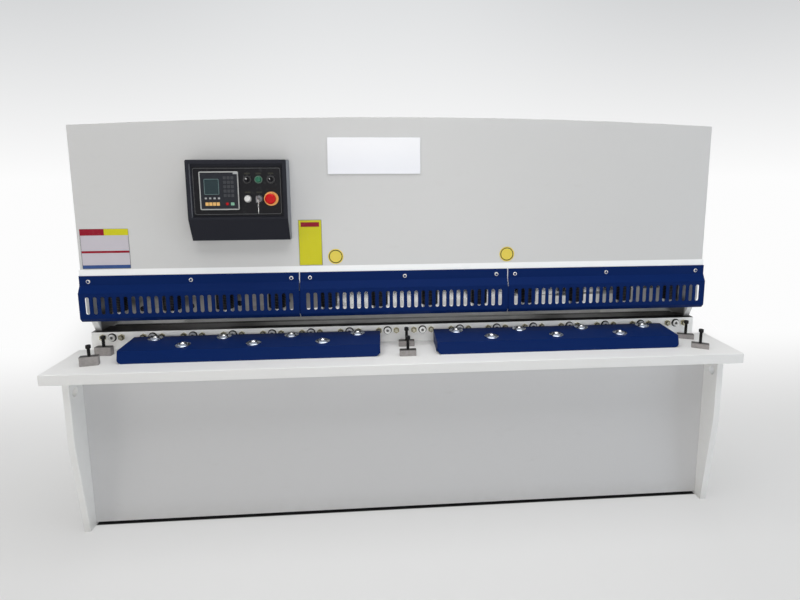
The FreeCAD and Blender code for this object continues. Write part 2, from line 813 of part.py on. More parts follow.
def box_tie(y, z, high):
    # Hollow square tube from side frame to side frame.
    tube = block(-side_inner, side_inner, y, y + tie_depth, z, z + high)
    return tube.cut(block(-side_inner, side_inner, y + tie_wall, y + tie_depth - tie_wall,
                          z + tie_wall, z + high - tie_wall))


low_tie = box_tie(side_back - low_tie_inset - tie_depth, low_tie_low, low_tie_high)
top_tie = box_tie(shelf_back + top_tie_gap, beam_high + top_tie_rise, top_tie_high)
place("rear_ties", low_tie, top_tie)

# Chute from the lower blade down to the back
chute_top = rail_top - blade_height - chute_drop + chute_sheet
chute_low = chute_top - chute_fall
chute_back = side_back - chute_back_inset
chute_line = [(chute_back, chute_low), (rail_back + chute_lip, chute_top), (rail_back, chute_top)]
place("scrap_chute", folded(chute_line, chute_sheet, chute_sheet, -side_inner, side_inner))

# Back gauge under the swing beam: rails with end plates, lead screws, and the stop bar
gauge_start = plate_back + gauge_rail_start
gauge_high = floor_low
gauge_low = gauge_high - gauge_rail_width
gauge_end = overall_depth - gauge_end_thick
rails = []
for x in (-gauge_rail_x, gauge_rail_x):
    half = gauge_rail_width / 2
    tube = block(x - half, x + half, gauge_start, gauge_end, gauge_low, gauge_high)
    inner = half - gauge_rail_wall
    tube = tube.cut(block(x - inner, x + inner, gauge_start, gauge_end,
                          gauge_low + gauge_rail_wall, gauge_high - gauge_rail_wall))
    screw_x = x - math.copysign(half + gauge_screw_clear + gauge_screw_r, x)
    screw_mid = (gauge_low + gauge_high) / 2
    outer = x + math.copysign(half, x)
    over = screw_x - math.copysign(half, x)
    end_plate = block(min(outer, over), max(outer, over), gauge_end, overall_depth,
                      gauge_high - gauge_end_high, gauge_high)
    lead_screw = bar_y(screw_x, beam_tail, gauge_end, screw_mid, gauge_screw_r)
    rails.append(tube.fuse(end_plate).fuse(lead_screw))
place("gauge_rails", *rails)
bar_y0 = plate_back + gauge_bar_back - gauge_rail_width
bar_half = blade_half - gauge_bar_inset
bar_low = gauge_low - gauge_bar_high
stop_bar = along_x([(bar_y0, bar_low), (bar_y0 + gauge_bar_thick, bar_low),
                    (bar_y0 + gauge_bar_thick, gauge_low - gauge_bar_thick),
                    (bar_y0 + gauge_bar_deep, gauge_low - gauge_bar_thick),
                    (bar_y0 + gauge_bar_deep, gauge_low), (bar_y0, gauge_low)], -bar_half, bar_half)
place("gauge_bar", stop_bar)

# Control box: folded shell with a recess in front and a chin below
box_left = -panel_half + box_from_edge
box_right = box_left + box_width
box_low = lip_top + box_from_lip
box_top = box_low + box_high
box_front = panel_front - box_deep
chin_front = panel_front - box_chin_deep
chin_top = box_low + box_chin_high
recess_floor = box_front + recess_deep
face_front = recess_floor - face_thick
shell = along_x([(panel_front, box_top), (box_front, box_top), (box_front, chin_top),
                 (chin_front, box_low), (panel_front, box_low)], box_left, box_right)
shell = rounded_y(shell, box_round, [(box_left, box_top), (box_right, box_top)])
back_front = recess_floor + box_sheet
shell = shell.cut(along_x([(panel_front, box_top - box_sheet), (back_front, box_top - box_sheet),
                           (back_front, chin_top), (chin_front + box_sheet, box_low + box_sheet),
                           (panel_front, box_low + box_sheet)],
                          box_left + box_sheet, box_right - box_sheet))
recess_left = box_left + recess_side
recess_right = box_right - recess_side
recess_z = box_low + recess_low
recess_top = recess_z + recess_high
shell = shell.cut(block(recess_left, recess_right, box_front, recess_floor, recess_z, recess_top))
places = [(box_left + x, box_low + z) for z in row_z for x in column_x]
white_spot, key_spot, stop_spot, left_spot, green_spot, right_spot = places
bores = Part.makeCompound([bar_y(x, box_front, panel_front, z, cap_r_small + button_play)
                           for x, z in places])
place("control_box", shell.cut(bores))
faceplate = block(recess_left + face_margin, recess_right - face_margin, face_front, recess_floor,
                  recess_z + face_margin, recess_top - face_margin - face_drop)
place("control_faceplate", faceplate.cut(bores))

# Controller unit with a raised frame round a sunk face
unit_x = box_left + unit_left
unit_z = box_low + unit_low
unit_front = face_front - unit_rise
unit = block(unit_x, unit_x + unit_size, unit_front, face_front, unit_z, unit_z + unit_size)
unit = rounded_y(unit, unit_round, [(unit_x + u * unit_size, unit_z + w * unit_size)
                                    for u in (0, 1) for w in (0, 1)])
unit = unit.cut(block(unit_x + unit_frame, unit_x + unit_size - unit_frame, unit_front,
                      unit_front + unit_sink, unit_z + unit_frame, unit_z + unit_size - unit_frame))
place("controller_unit", unit)


def ring(spot, radius, rise):
    # A bezel on the faceplate round a bore.
    outer = bar_y(spot[0], face_front - rise, face_front, spot[1], radius)
    return outer.cut(bar_y(spot[0], face_front - rise, face_front, spot[1], cap_r_small + button_play))


bezels = [ring(spot, bezel_r, bezel_rise) for spot in places if spot != stop_spot]
place("button_bezels", *bezels, ring(stop_spot, collar_r, collar_rise))


def stem(spot, out):
    # The round body that moves in the bore, from its front to its inner end.
    return bar_y(spot[0], face_front - out, face_front + stem_long, spot[1], cap_r_small)


def front_rim(shape):
    return [e for e in shape.Edges if e.BoundBox.YMax < shape.BoundBox.YMin + pick_reach]


# Push buttons, selectors with a grip, and the key switch
for name, spot in (("green_button", green_spot), ("white_button", white_spot)):
    button = stem(spot, button_out)
    place(name, button.makeChamfer(button_edge, front_rim(button)))
head_front = face_front - bezel_rise - head_out
for name, spot in (("left_selector", left_spot), ("right_selector", right_spot)):
    grip = block(spot[0] - grip_half, spot[0] + grip_half, head_front - grip_out, head_front,
                 spot[1] - cap_r_small, spot[1] + cap_r_small)
    place(name, stem(spot, bezel_rise + head_out).fuse(grip))
key_front = head_front - key_blade_out
key_blade = block(key_spot[0] - key_half, key_spot[0] + key_half, key_front, head_front,
                  key_spot[1] - key_blade_half, key_spot[1] + key_blade_half)
key_bow = block(key_spot[0] - key_half, key_spot[0] + key_half, key_front - key_bow_long, key_front,
                key_spot[1] - key_bow_half, key_spot[1] + key_bow_half)
place("key_switch", stem(key_spot, bezel_rise + head_out).fuse(key_blade).fuse(key_bow).removeSplitter())

# Emergency stop: mushroom head on a stem
stop_back = face_front - collar_rise - stop_press - stop_play
stop_head = bar_y(stop_spot[0], stop_back - stop_head_deep, stop_back, stop_spot[1], stop_head_r)
stop_head = stop_head.makeFillet(stop_edge, front_rim(stop_head))
place("emergency_stop", stop_head.fuse(stem(stop_spot, face_front - stop_back)).removeSplitter())

# Blank name plate
name_left = name_centre - name_width / 2
name_top = panel_crown_top - name_from_top
place("name_plate", block(name_left, name_left + name_width, panel_front - name_thick, panel_front,
                          name_top - name_high, name_top))
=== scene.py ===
import json
import math
import bmesh
import bpy
from mathutils import Matrix, Vector

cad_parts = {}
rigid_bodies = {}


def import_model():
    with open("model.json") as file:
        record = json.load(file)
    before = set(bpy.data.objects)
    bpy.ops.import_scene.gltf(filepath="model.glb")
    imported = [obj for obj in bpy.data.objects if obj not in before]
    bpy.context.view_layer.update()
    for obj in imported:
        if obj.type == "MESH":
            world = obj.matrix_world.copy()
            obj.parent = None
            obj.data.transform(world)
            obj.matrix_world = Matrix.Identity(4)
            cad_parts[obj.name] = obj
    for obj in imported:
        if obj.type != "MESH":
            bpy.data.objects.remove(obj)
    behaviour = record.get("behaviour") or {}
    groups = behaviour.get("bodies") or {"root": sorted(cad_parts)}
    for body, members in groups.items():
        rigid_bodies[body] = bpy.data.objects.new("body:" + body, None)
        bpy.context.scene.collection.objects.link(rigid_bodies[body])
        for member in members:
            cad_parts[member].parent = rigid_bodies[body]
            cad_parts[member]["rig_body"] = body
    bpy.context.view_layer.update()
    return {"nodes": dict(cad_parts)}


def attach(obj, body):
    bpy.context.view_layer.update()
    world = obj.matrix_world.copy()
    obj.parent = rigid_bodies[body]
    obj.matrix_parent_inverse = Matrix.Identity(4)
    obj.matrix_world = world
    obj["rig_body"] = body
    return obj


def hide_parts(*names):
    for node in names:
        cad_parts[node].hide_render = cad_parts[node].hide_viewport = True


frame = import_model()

nodes = frame["nodes"]
root = "machine_frame"
front = (0, -1, 0)
rear = (0, 1, 0)
upward = (0, 0, 1)
rightward = (1, 0, 0)
print("frame loaded,", len(nodes), "nodes")


# Shader wiring: a signal carries a value, colour or vector from node to node
class Signal:
    def __init__(self, coat, socket):
        self.coat, self.socket = coat, socket

    def combine(self, operation, *values):
        kind = "ShaderNodeMath" if self.socket.type == "VALUE" else "ShaderNodeVectorMath"
        return self.coat.node(kind, {"operation": operation}, values)

    def __add__(self, other):
        return self.combine("ADD", self, other)

    def __radd__(self, other):
        return self.combine("ADD", other, self)

    def __sub__(self, other):
        return self.combine("SUBTRACT", self, other)

    def __rsub__(self, other):
        return self.combine("SUBTRACT", other, self)

    def __mul__(self, other):
        return self.combine("MULTIPLY", self, other)

    def __rmul__(self, other):
        return self.combine("MULTIPLY", other, self)

    def __gt__(self, other):
        return self.combine("GREATER_THAN", self, other)

    def __lt__(self, other):
        return self.combine("LESS_THAN", self, other)

    def size(self):
        return self.combine("ABSOLUTE", self)

    def wave(self):
        return self.combine("SINE", self)

    def nearest(self):
        return self.combine("ROUND", self)


class Board:
    def __init__(self, tree):
        self.tree = tree

    def node(self, kind, settings=None, values=(), output=0):
        made = self.tree.nodes.new(kind)
        for name, value in (settings or {}).items():
            setattr(made, name, value)
        for key, value in values.items() if isinstance(values, dict) else enumerate(values):
            socket = made.inputs[key]
            if isinstance(value, Signal):
                self.tree.links.new(value.socket, socket)
            elif socket.type == "RGBA" and len(value) == 3:
                socket.default_value = (*value, 1)
            elif socket.type == "VECTOR" and isinstance(value, (int, float)):
                socket.default_value = (value,) * 3
            else:
                socket.default_value = value
        return Signal(self, made.outputs[output])

    def blend(self, share, first, second):
        settings = {"data_type": "RGBA", "blend_type": "MIX"}
        return self.node("ShaderNodeMix", settings, {0: share, 6: first, 7: second}, 2)

    def step(self, signal, low, high):
        values = {"Value": signal, "From Min": low, "From Max": high}
        return self.node("ShaderNodeMapRange", {"interpolation_type": "SMOOTHSTEP"}, values)

    def split(self, vector):
        made = self.node("ShaderNodeSeparateXYZ", None, (vector,)).socket.node
        return [Signal(self, socket) for socket in made.outputs]


class Coat(Board):
    def __init__(self, name):
        self.material = bpy.data.materials.new(name)
        self.material.use_nodes = True
        super().__init__(self.material.node_tree)
        self.shader = self.tree.nodes["Principled BSDF"]
        self.place = self.node("ShaderNodeTexCoord", output="Object")
        self.x, self.y, self.z = self.split(self.place)
        self.normal = self.split(self.node("ShaderNodeNewGeometry", output="Normal"))

    def noise(self, scale, detail=2.0, stretch=(1, 1, 1), harsh=0.5):
        spot = self.node("ShaderNodeMapping", None, {"Vector": self.place, "Scale": stretch})
        values = {"Vector": spot, "Scale": scale, "Detail": detail, "Roughness": harsh}
        return self.node("ShaderNodeTexNoise", None, values)

    def distance(self, spot, squash=(1, 1, 1)):
        away = (self.place - spot) * squash
        return self.node("ShaderNodeVectorMath", {"operation": "LENGTH"}, (away,), "Value")

    def feed(self, name, signal):
        self.tree.links.new(signal.socket, self.shader.inputs[name])

    def bump(self, height, strength, depth):
        values = {"Height": height, "Strength": strength, "Distance": depth}
        self.feed("Normal", self.node("ShaderNodeBump", None, values))

    def fix(self, **numbers):
        for name, value in numbers.items():
            self.shader.inputs[name.replace("_", " ")].default_value = value
        return self


# Finishes
paints = {
    "whitePaint": {"tone": (0.80, 0.80, 0.79), "dirt": (0.44, 0.42, 0.38), "rough": 0.36, "peel": 330,
                   "shine": 0.45},
    # frame paint: near-black round the blades, painted shade with some oil
    "framePaint": {"tone": (0.80, 0.80, 0.79), "dirt": (0.44, 0.42, 0.38), "rough": 0.36, "peel": 330,
                   "shine": 0.45, "throat": (0.035, 0.034, 0.034)},
    # panel paint: darker than the white paint, painted shade; its lip lighter, painted light
    "panelPaintShaded": {"tone": (0.605, 0.605, 0.60), "dirt": (0.40, 0.39, 0.36), "rough": 0.36, "peel": 330,
                   "shine": 0.35, "lip": (0.88, 0.89, 0.89)},
    # apron paint: darker than the white paint, painted shade
    "apronPaintShaded": {"tone": (0.60, 0.60, 0.605), "dirt": (0.38, 0.37, 0.34), "rough": 0.40, "peel": 330,
                   "shine": 0.30},
    # beam paint: lighter than the white paint, painted light; grey on its left third, painted shade
    "beamPaintLit": {"tone": (0.94, 0.94, 0.94), "dirt": (0.40, 0.38, 0.34), "rough": 0.30, "peel": 330,
                  "shine": 0.5, "leftShade": (0.23, 0.22, 0.205)},
    "bluePaint": {"tone": (0.0025, 0.0165, 0.097), "dirt": (0.012, 0.03, 0.075), "rough": 0.40, "peel": 700,
                  "shine": 0.05},
    # box paint: paler on its right-hand side, painted light
    "charcoalPaint": {"tone": (0.018, 0.019, 0.026), "dirt": (0.04, 0.04, 0.044), "rough": 0.50, "peel": 900,
                      "shine": 0.12, "side": (0.21, 0.22, 0.245)},
    "motorPaint": {"tone": (0.035, 0.085, 0.19), "dirt": (0.05, 0.055, 0.06), "rough": 0.45, "peel": 500,
                   "shine": 0.35},
}
steels = {
    "bladeSteel": {"tone": (0.66, 0.65, 0.63), "stain": (0.40, 0.37, 0.33), "rough": 0.34,
                   "run": (1, 70, 70)},
    "lockSteel": {"tone": (0.20, 0.20, 0.21), "stain": (0.06, 0.06, 0.06), "rough": 0.28, "run": (8, 8, 8)},
    "darkSteel": {"tone": (0.045, 0.046, 0.053), "stain": (0.020, 0.019, 0.018), "rough": 0.42,
                  "run": (30, 30, 2)},
    "brightSteel": {"tone": (0.80, 0.80, 0.79), "stain": (0.52, 0.50, 0.45), "rough": 0.17, "run": (8, 8, 8)},
    "pipeSteel": {"tone": (0.55, 0.55, 0.53), "stain": (0.26, 0.24, 0.20), "rough": 0.32, "run": (6, 6, 6)},
    "blackOxide": {"tone": (0.018, 0.018, 0.019), "stain": (0.035, 0.030, 0.026), "rough": 0.38,
                   "run": (5, 5, 30)},
    "ballSteel": {"tone": (0.88, 0.88, 0.88), "stain": (0.7, 0.7, 0.68), "rough": 0.05, "run": (5, 5, 5)},
    # flange steel tinted blue: painted reflection of the blue trays
    "flangeSteelBlueReflection": {"tone": (0.50, 0.54, 0.62), "stain": (0.2, 0.22, 0.28), "rough": 0.14, "run": (5, 5, 5)},
}
plastics = {
    "panelBlack": {"tone": (0.007, 0.007, 0.009), "rough": 0.42, "grain": 1500, "shine": 0.15},
    "greenPlastic": {"tone": (0.008, 0.13, 0.068), "rough": 0.22, "grain": 900, "shine": 0.3},
    "paleGreen": {"tone": (0.22, 0.46, 0.33), "rough": 0.30, "grain": 900, "shine": 0.4},
    "whitePlastic": {"tone": (0.76, 0.76, 0.75), "rough": 0.30, "grain": 900, "shine": 0.4},
    "redPlastic": {"tone": (0.56, 0.005, 0.008), "rough": 0.30, "grain": 900, "shine": 0.15},
    "yellowFilm": {"tone": (0.64, 0.60, 0.018), "rough": 0.38, "grain": 600, "shine": 0.2},
    "redFilm": {"tone": (0.29, 0.008, 0.024), "rough": 0.38, "grain": 600, "shine": 0.15},
    "blueFilm": {"tone": (0.035, 0.08, 0.25), "rough": 0.38, "grain": 600, "shine": 0.2},
    "whiteFilm": {"tone": (0.58, 0.55, 0.60), "rough": 0.38, "grain": 600, "shine": 0.2},
    "discFilm": {"tone": (0.80, 0.64, 0.10), "rough": 0.38, "grain": 600, "shine": 0.2},
    "greyInk": {"tone": (0.14, 0.145, 0.15), "rough": 0.50, "grain": 1200, "shine": 0.2},
    "tealInk": {"tone": (0.12, 0.19, 0.19), "rough": 0.50, "grain": 1200, "shine": 0.2},
    "darkInk": {"tone": (0.030, 0.030, 0.022), "rough": 0.50, "grain": 1200, "shine": 0.2},
    "keyGrey": {"tone": (0.050, 0.053, 0.060), "rough": 0.50, "grain": 1400, "shine": 0.2},
    "softKey": {"tone": (0.42, 0.43, 0.44), "rough": 0.45, "grain": 1400, "shine": 0.3},
    "amberKey": {"tone": (0.84, 0.50, 0.17), "rough": 0.40, "grain": 1200, "shine": 0.3},
    "darkRed": {"tone": (0.11, 0.006, 0.010), "rough": 0.45, "grain": 1200, "shine": 0.2},
    "rubberBlack": {"tone": (0.012, 0.012, 0.012), "rough": 0.60, "grain": 700, "shine": 0.2},
    "amberGlass": {"tone": (0.45, 0.26, 0.06), "rough": 0.12, "grain": 200, "shine": 0.5},
}


def paintedCoat(name, look):
    coat = Coat(name)
    cloud = coat.noise(1.6, 3)
    smudge = coat.step(coat.noise(9, 5, (1, 1, 2.5), 0.62), 0.60, 0.80)
    speck = coat.step(coat.noise(160, 2), 0.68, 0.78)
    facing = coat.step(coat.normal[2], 0.6, 0.95)
    floorDirt = coat.step(coat.z, 0.10, 0.0) * coat.noise(26, 4)
    tone = coat.blend(cloud * 0.10, look["tone"], [c * 0.88 for c in look["tone"]])
    if "lip" in look:  # the stepped foot of the panel is painted lighter than the panel above it: painted light
        lip = coat.step(coat.z, 1.027, 1.023) * (coat.z > 0.95)
        tone = coat.blend(lip, tone, look["lip"])
    if "leftShade" in look:  # the left third of the beam's lower part is painted grey: painted shade
        low = coat.step(coat.z, 1.00, 0.96) * coat.step(coat.y, -0.20, -0.30)
        bare = coat.step(coat.x + cloud * 0.1, -0.36, -0.44) * low
        tone = coat.blend(bare * (0.75 + smudge * 0.25), tone, look["leftShade"])
    if "side" in look:  # the right-hand side of the box is painted paler than its face: painted light
        tone = coat.blend(coat.step(coat.normal[0], 0.6, 0.9), tone, look["side"])
    if "throat" in look:  # near-black round the blades: painted shade in the throat, with some oil
        near = coat.step(coat.y, -0.520, -0.500) * coat.step(coat.y, -0.30, -0.40)
        near = near * coat.step(coat.x.size(), 1.300, 1.285)
        near = near * coat.step(coat.z, 0.735, 0.755) * coat.step(coat.z, 0.86, 0.82)
        tone = coat.blend(near, tone, look["throat"])
    grime = smudge * 0.10 + speck * 0.06 + facing * 0.02 + floorDirt * 0.35
    coat.feed("Base Color", coat.blend(grime, tone, look["dirt"]))
    coat.feed("Roughness", look["rough"] + smudge * 0.14 + cloud * 0.06 + facing * 0.05)
    coat.fix(Specular_IOR_Level=look["shine"])
    coat.bump(coat.noise(look["peel"], 2) + speck * 0.4 + cloud * 0.5, 0.22, 0.0006)
    return coat


def groundCoat(name, look):
    coat = Coat(name)
    lines = coat.noise(14, 6, look["run"], 0.65)
    stain = coat.step(coat.noise(11, 5, (1, 1, 1), 0.6), 0.45, 0.75)
    pits = coat.step(coat.noise(420, 2), 0.66, 0.74)
    tone = coat.blend(lines * 0.35, look["tone"], [c * 0.72 for c in look["tone"]])
    coat.feed("Base Color", coat.blend(stain * 0.45 + pits * 0.25, tone, look["stain"]))
    coat.feed("Roughness", look["rough"] + lines * 0.12 + stain * 0.16)
    coat.fix(Metallic=1.0)
    coat.bump(lines + pits * -0.5, 0.20, 0.0004)
    return coat


def mouldedCoat(name, look):
    coat = Coat(name)
    cloud = coat.noise(30, 3)
    grain = coat.noise(look["grain"], 2)
    rub = coat.step(coat.noise(75, 4), 0.55, 0.75)
    tone = coat.blend(cloud * 0.25, look["tone"], [c * 0.80 for c in look["tone"]])
    coat.feed("Base Color", coat.blend(rub * 0.05, tone, [0.3 + c * 0.5 for c in look["tone"]]))
    coat.feed("Roughness", look["rough"] + rub * 0.12 + grain * 0.05)
    coat.fix(Specular_IOR_Level=look["shine"])
    coat.bump(grain, 0.16, 0.0003)
    return coat


coats = {name: paintedCoat(name, look) for name, look in paints.items()}
coats.update({name: groundCoat(name, look) for name, look in steels.items()})
coats.update({name: mouldedCoat(name, look) for name, look in plastics.items()})


def railCoat():
    # machined bar: painted all round, its top is bare steel; the top is darker at both ends than in the
    # middle and black along the front edge, painted shade with some oil
    coat = Coat("railSteel")
    top = coat.step(coat.normal[2], 0.5, 0.9)
    lines = coat.noise(10, 6, (1, 90, 90), 0.65)
    oil = coat.step(coat.noise(3.5, 5, (1, 3, 3), 0.6), 0.40, 0.66)
    litMiddle = coat.step((coat.x - 0.2).size(), 1.05, 0.60)
    bare = coat.blend(litMiddle, (0.13, 0.125, 0.12), (0.36, 0.36, 0.35))
    bare = coat.blend(lines * 0.4 + oil * 0.35, bare, (0.035, 0.033, 0.031))
    frontShade = coat.step(coat.y, -0.484, -0.492) * coat.step(coat.x, -0.9, -0.6)
    bare = coat.blend(frontShade, bare, (0.004, 0.004, 0.005))
    smudge = coat.step(coat.noise(26, 5), 0.55, 0.78)
    # the painted face is whiter than the white paint elsewhere: painted light
    painted = coat.blend(smudge * 0.10, (0.96, 0.96, 0.945), (0.50, 0.48, 0.42))
    coat.feed("Base Color", coat.blend(top, painted, bare))
    coat.feed("Metallic", top * (0.8 - frontShade * 0.7))
    coat.feed("Roughness", 0.38 + lines * 0.12 + smudge * 0.1 + frontShade * top * 0.35 - top * 0.06)
    coat.fix(Specular_IOR_Level=0.2)
    coat.bump(lines * top + coat.noise(330, 2) * (1 - top), 0.22, 0.0005)
    return coat


def chuteCoat():
    # bare plate of the scrap chute: dark scale and scrapes, darker at both ends than in the middle: painted
    # shade
    coat = Coat("chuteSteel")
    scrapes = coat.noise(12, 6, (60, 2, 2), 0.65)
    scale = coat.step(coat.noise(5, 5, (1, 1, 1), 0.6), 0.40, 0.70)
    litMiddle = coat.step((coat.x - 0.25).size(), 1.0, 0.65)
    tone = coat.blend(litMiddle, (0.020, 0.020, 0.022), (0.15, 0.15, 0.15))
    coat.feed("Base Color", coat.blend(scale * 0.5 + scrapes * 0.3, tone, (0.018, 0.017, 0.016)))
    coat.feed("Roughness", 0.44 + scale * 0.15 - scrapes * 0.08)
    coat.fix(Metallic=0.5)
    coat.bump(scrapes + scale * 0.4, 0.25, 0.0005)
    return coat


def upperBladeCoat():
    # ground blade: painted grey towards its low left end, painted shade, and near-white in the middle and to
    # the right, painted highlight
    coat = Coat("upperSteel")
    lines = coat.noise(14, 6, (1, 70, 70), 0.65)
    oil = coat.step(coat.noise(6, 5, (1, 4, 4), 0.6), 0.42, 0.70)
    highlightShare = coat.step(coat.x + oil * 0.1, -0.34, -0.20)
    tone = coat.blend(highlightShare, (0.34, 0.325, 0.305), (0.97, 0.97, 0.97))
    tone = coat.blend(lines * 0.2, tone, (0.60, 0.60, 0.59))
    coat.feed("Base Color", coat.blend(oil * (1 - highlightShare) * 0.5, tone, (0.16, 0.15, 0.14)))
    coat.feed("Roughness", 0.14 + lines * 0.10 + (1 - highlightShare) * 0.16)
    coat.fix(Metallic=0.9)
    coat.bump(lines, 0.2, 0.0004)
    return coat


def lowerBladeCoat():
    # ground blade under a film of oil, painted near-black for the shade under the guards, and lighter along
    # its middle than at its ends
    coat = Coat("oiledShadedBlade")
    lines = coat.noise(14, 6, (1, 70, 70), 0.65)
    oil = coat.step(coat.noise(5, 5, (1, 4, 4), 0.6), 0.38, 0.64)
    litMiddle = coat.step((coat.x - 0.25).size(), 1.0, 0.55)
    tone = coat.blend(litMiddle, (0.022, 0.022, 0.025), (0.20, 0.20, 0.20))
    coat.feed("Base Color", coat.blend(oil * 0.5 + lines * 0.2, tone, (0.02, 0.02, 0.022)))
    coat.feed("Roughness", 0.36 + lines * 0.12 + oil * 0.1)
    coat.fix(Metallic=0.8)
    coat.bump(lines, 0.2, 0.0004)
    return coat


def holdDownCoat():
    # dark cylinders with an outside thread
    coat = Coat("threadedSteel")
    thread = (coat.z * 900.0).wave()
    wear = coat.step(coat.noise(45, 5), 0.5, 0.75)
    tone = coat.blend(coat.step(thread, 0.1, 0.8), (0.012, 0.012, 0.014), (0.075, 0.075, 0.08))
    coat.feed("Base Color", coat.blend(wear * 0.35, tone, (0.11, 0.10, 0.09)))
    coat.feed("Roughness", 0.40 + wear * 0.15)
    coat.fix(Metallic=0.7)
    coat.bump(thread, 0.6, 0.0012)
    return coat


# Groups of rail screws, as the solids have them
screwGroups = {"middle": 0.075, "pitch": 0.16209, "outer": 0.0375, "side": 8, "height": 0.730,
               "face": -0.524, "head": 0.014}


def nutCoat():
    # yellow-zinc lock nuts round threaded studs, with a bright cap screw in the middle of each group
    coat = Coat("zincScrews")
    along = (coat.x.size() - screwGroups["middle"]) * (1 / screwGroups["pitch"])
    offset = (along - along.nearest()).size() * screwGroups["pitch"]
    middle = offset < 0.016
    across = offset - screwGroups["outer"]
    height = coat.z - screwGroups["height"]
    radial = across * across + height * height
    stud = radial < 0.0000560
    grooveShade = (radial < 0.0000950) * (1 - stud)
    tint = coat.noise(60, 4)
    rust = coat.step(coat.noise(260, 4), 0.48, 0.62)
    recessShade = coat.step(coat.y, -0.5315, -0.5285) * middle
    tone = coat.blend(tint, (0.62, 0.58, 0.40), (0.42, 0.39, 0.24))
    tone = coat.blend(stud * 0.6, tone, (0.70, 0.68, 0.58))
    tone = coat.blend(middle, tone, (0.75, 0.75, 0.74))
    tone = coat.blend(rust * (0.75 - middle * 0.55), tone, (0.07, 0.06, 0.035))
    # the dark ring round each stud and the darkened backs of the middle screws are painted shade in their
    # recesses
    paintedShade = grooveShade * (1 - middle) * 0.9 + recessShade * 0.85
    coat.feed("Base Color", coat.blend(paintedShade, tone, (0.03, 0.03, 0.025)))
    coat.feed("Roughness", 0.24 + tint * 0.16 + rust * 0.2)
    coat.fix(Metallic=0.9)
    coat.bump(tint + rust, 0.25, 0.0004)
    return coat


def seatCoat():
    # steel blocks: dark oily tops, grey patinated sides with saw marks
    coat = Coat("seatSteel")
    top = coat.step(coat.normal[2], 0.5, 0.9)
    marks = coat.noise(18, 6, (3, 3, 40), 0.65)
    patina = coat.step(coat.noise(70, 5, (1, 1, 1), 0.6), 0.40, 0.70)
    side = coat.blend(marks * 0.6 + patina * 0.3, (0.36, 0.34, 0.33), (0.20, 0.185, 0.18))
    tone = coat.blend(top, side, coat.blend(patina * 0.7, (0.050, 0.047, 0.045), (0.13, 0.12, 0.11)))
    coat.feed("Base Color", tone)
    coat.feed("Metallic", 0.25 + top * 0.3)
    coat.feed("Roughness", 0.52 + marks * 0.15 - top * 0.08)
    coat.bump(marks + patina * 0.4, 0.35, 0.0005)
    return coat


def gaugeCoat():
    # painted tubes and end plates, with the lead screws beside them in bare steel
    coat = Coat("gaugeFinish")
    across = (coat.x.size() - 0.7027).size() < 0.0135
    screw = across * (coat.y < 0.7905)
    cloud = coat.noise(3, 3)
    smudge = coat.step(coat.noise(14, 5), 0.58, 0.8)
    thread = (coat.y * 1570.0).wave()
    painted = coat.blend(cloud * 0.12 + smudge * 0.12, (0.79, 0.79, 0.775), (0.50, 0.48, 0.44))
    bare = coat.blend(coat.step(thread, -0.2, 0.8), (0.22, 0.21, 0.19), (0.55, 0.54, 0.51))
    coat.feed("Base Color", coat.blend(screw, painted, bare))
    coat.feed("Metallic", screw)
    coat.feed("Roughness", 0.38 + smudge * 0.12 - screw * 0.08)
    coat.bump(coat.noise(330, 2) * 0.3 + thread * screw, 0.4, 0.0008)
    return coat


def unitCoat():
    # dark housing with a pale rim round the sunk face
    coat = Coat("unitGrey")
    rim = coat.y < -0.6424
    worn = coat.step(coat.noise(55, 4), 0.55, 0.7)
    face = coat.blend(worn * 0.3, (0.008, 0.010, 0.016), (0.022, 0.026, 0.034))
    coat.feed("Base Color", coat.blend(rim, face, (0.42, 0.43, 0.42)))
    coat.feed("Roughness", 0.34 + worn * 0.14)
    coat.fix(Specular_IOR_Level=0.25)
    coat.bump(coat.noise(1300, 2), 0.14, 0.0003)
    return coat


def bezelCoat():
    # dark rings; the emergency stop's collar is orange, the white button's ring pale, the green one's green
    coat = Coat("bezelRings")
    collar = coat.distance((-0.517, -0.640, 1.304)) < 0.0290
    pale = coat.distance((-0.606, -0.638, 1.304)) < 0.0134
    green = coat.distance((-0.563, -0.638, 1.3775)) < 0.0145
    wear = coat.step(coat.noise(120, 4), 0.5, 0.7)
    ring = coat.blend(wear * 0.5, (0.016, 0.016, 0.017), (0.045, 0.045, 0.045))
    ring = coat.blend(pale, ring, (0.62, 0.62, 0.60))
    ring = coat.blend(green, ring, (0.05, 0.16, 0.10))
    orange = coat.blend(wear * 0.3, (0.86, 0.40, 0.09), (0.62, 0.24, 0.05))
    coat.feed("Base Color", coat.blend(collar, ring, orange))
    coat.feed("Roughness", 0.30 + wear * 0.15)
    coat.bump(coat.noise(300, 3), 0.15, 0.0003)
    return coat


def plateCoat():
    # blank acrylic plate on the panel, a little cloudy, with a cooler cut edge
    coat = Coat("clearPlate")
    edge = coat.step(coat.normal[1], -0.5, -0.1)
    cloud = coat.noise(7, 4)
    wipe = coat.step(coat.noise(40, 5, (1, 1, 6)), 0.5, 0.75)
    low = coat.step(coat.z, 1.54, 1.40)
    tone = coat.blend(cloud * 0.6, (0.78, 0.785, 0.81), (0.73, 0.735, 0.76))
    tone = coat.blend(low * 0.30, tone, (0.55, 0.57, 0.66))
    coat.feed("Base Color", coat.blend(edge, tone, (0.50, 0.55, 0.60)))
    coat.feed("Roughness", 0.12 + wipe * 0.12 + cloud * 0.03)
    coat.fix(Coat_Weight=0.3)
    coat.bump(cloud + wipe * 0.1, 0.05, 0.0004)
    return coat


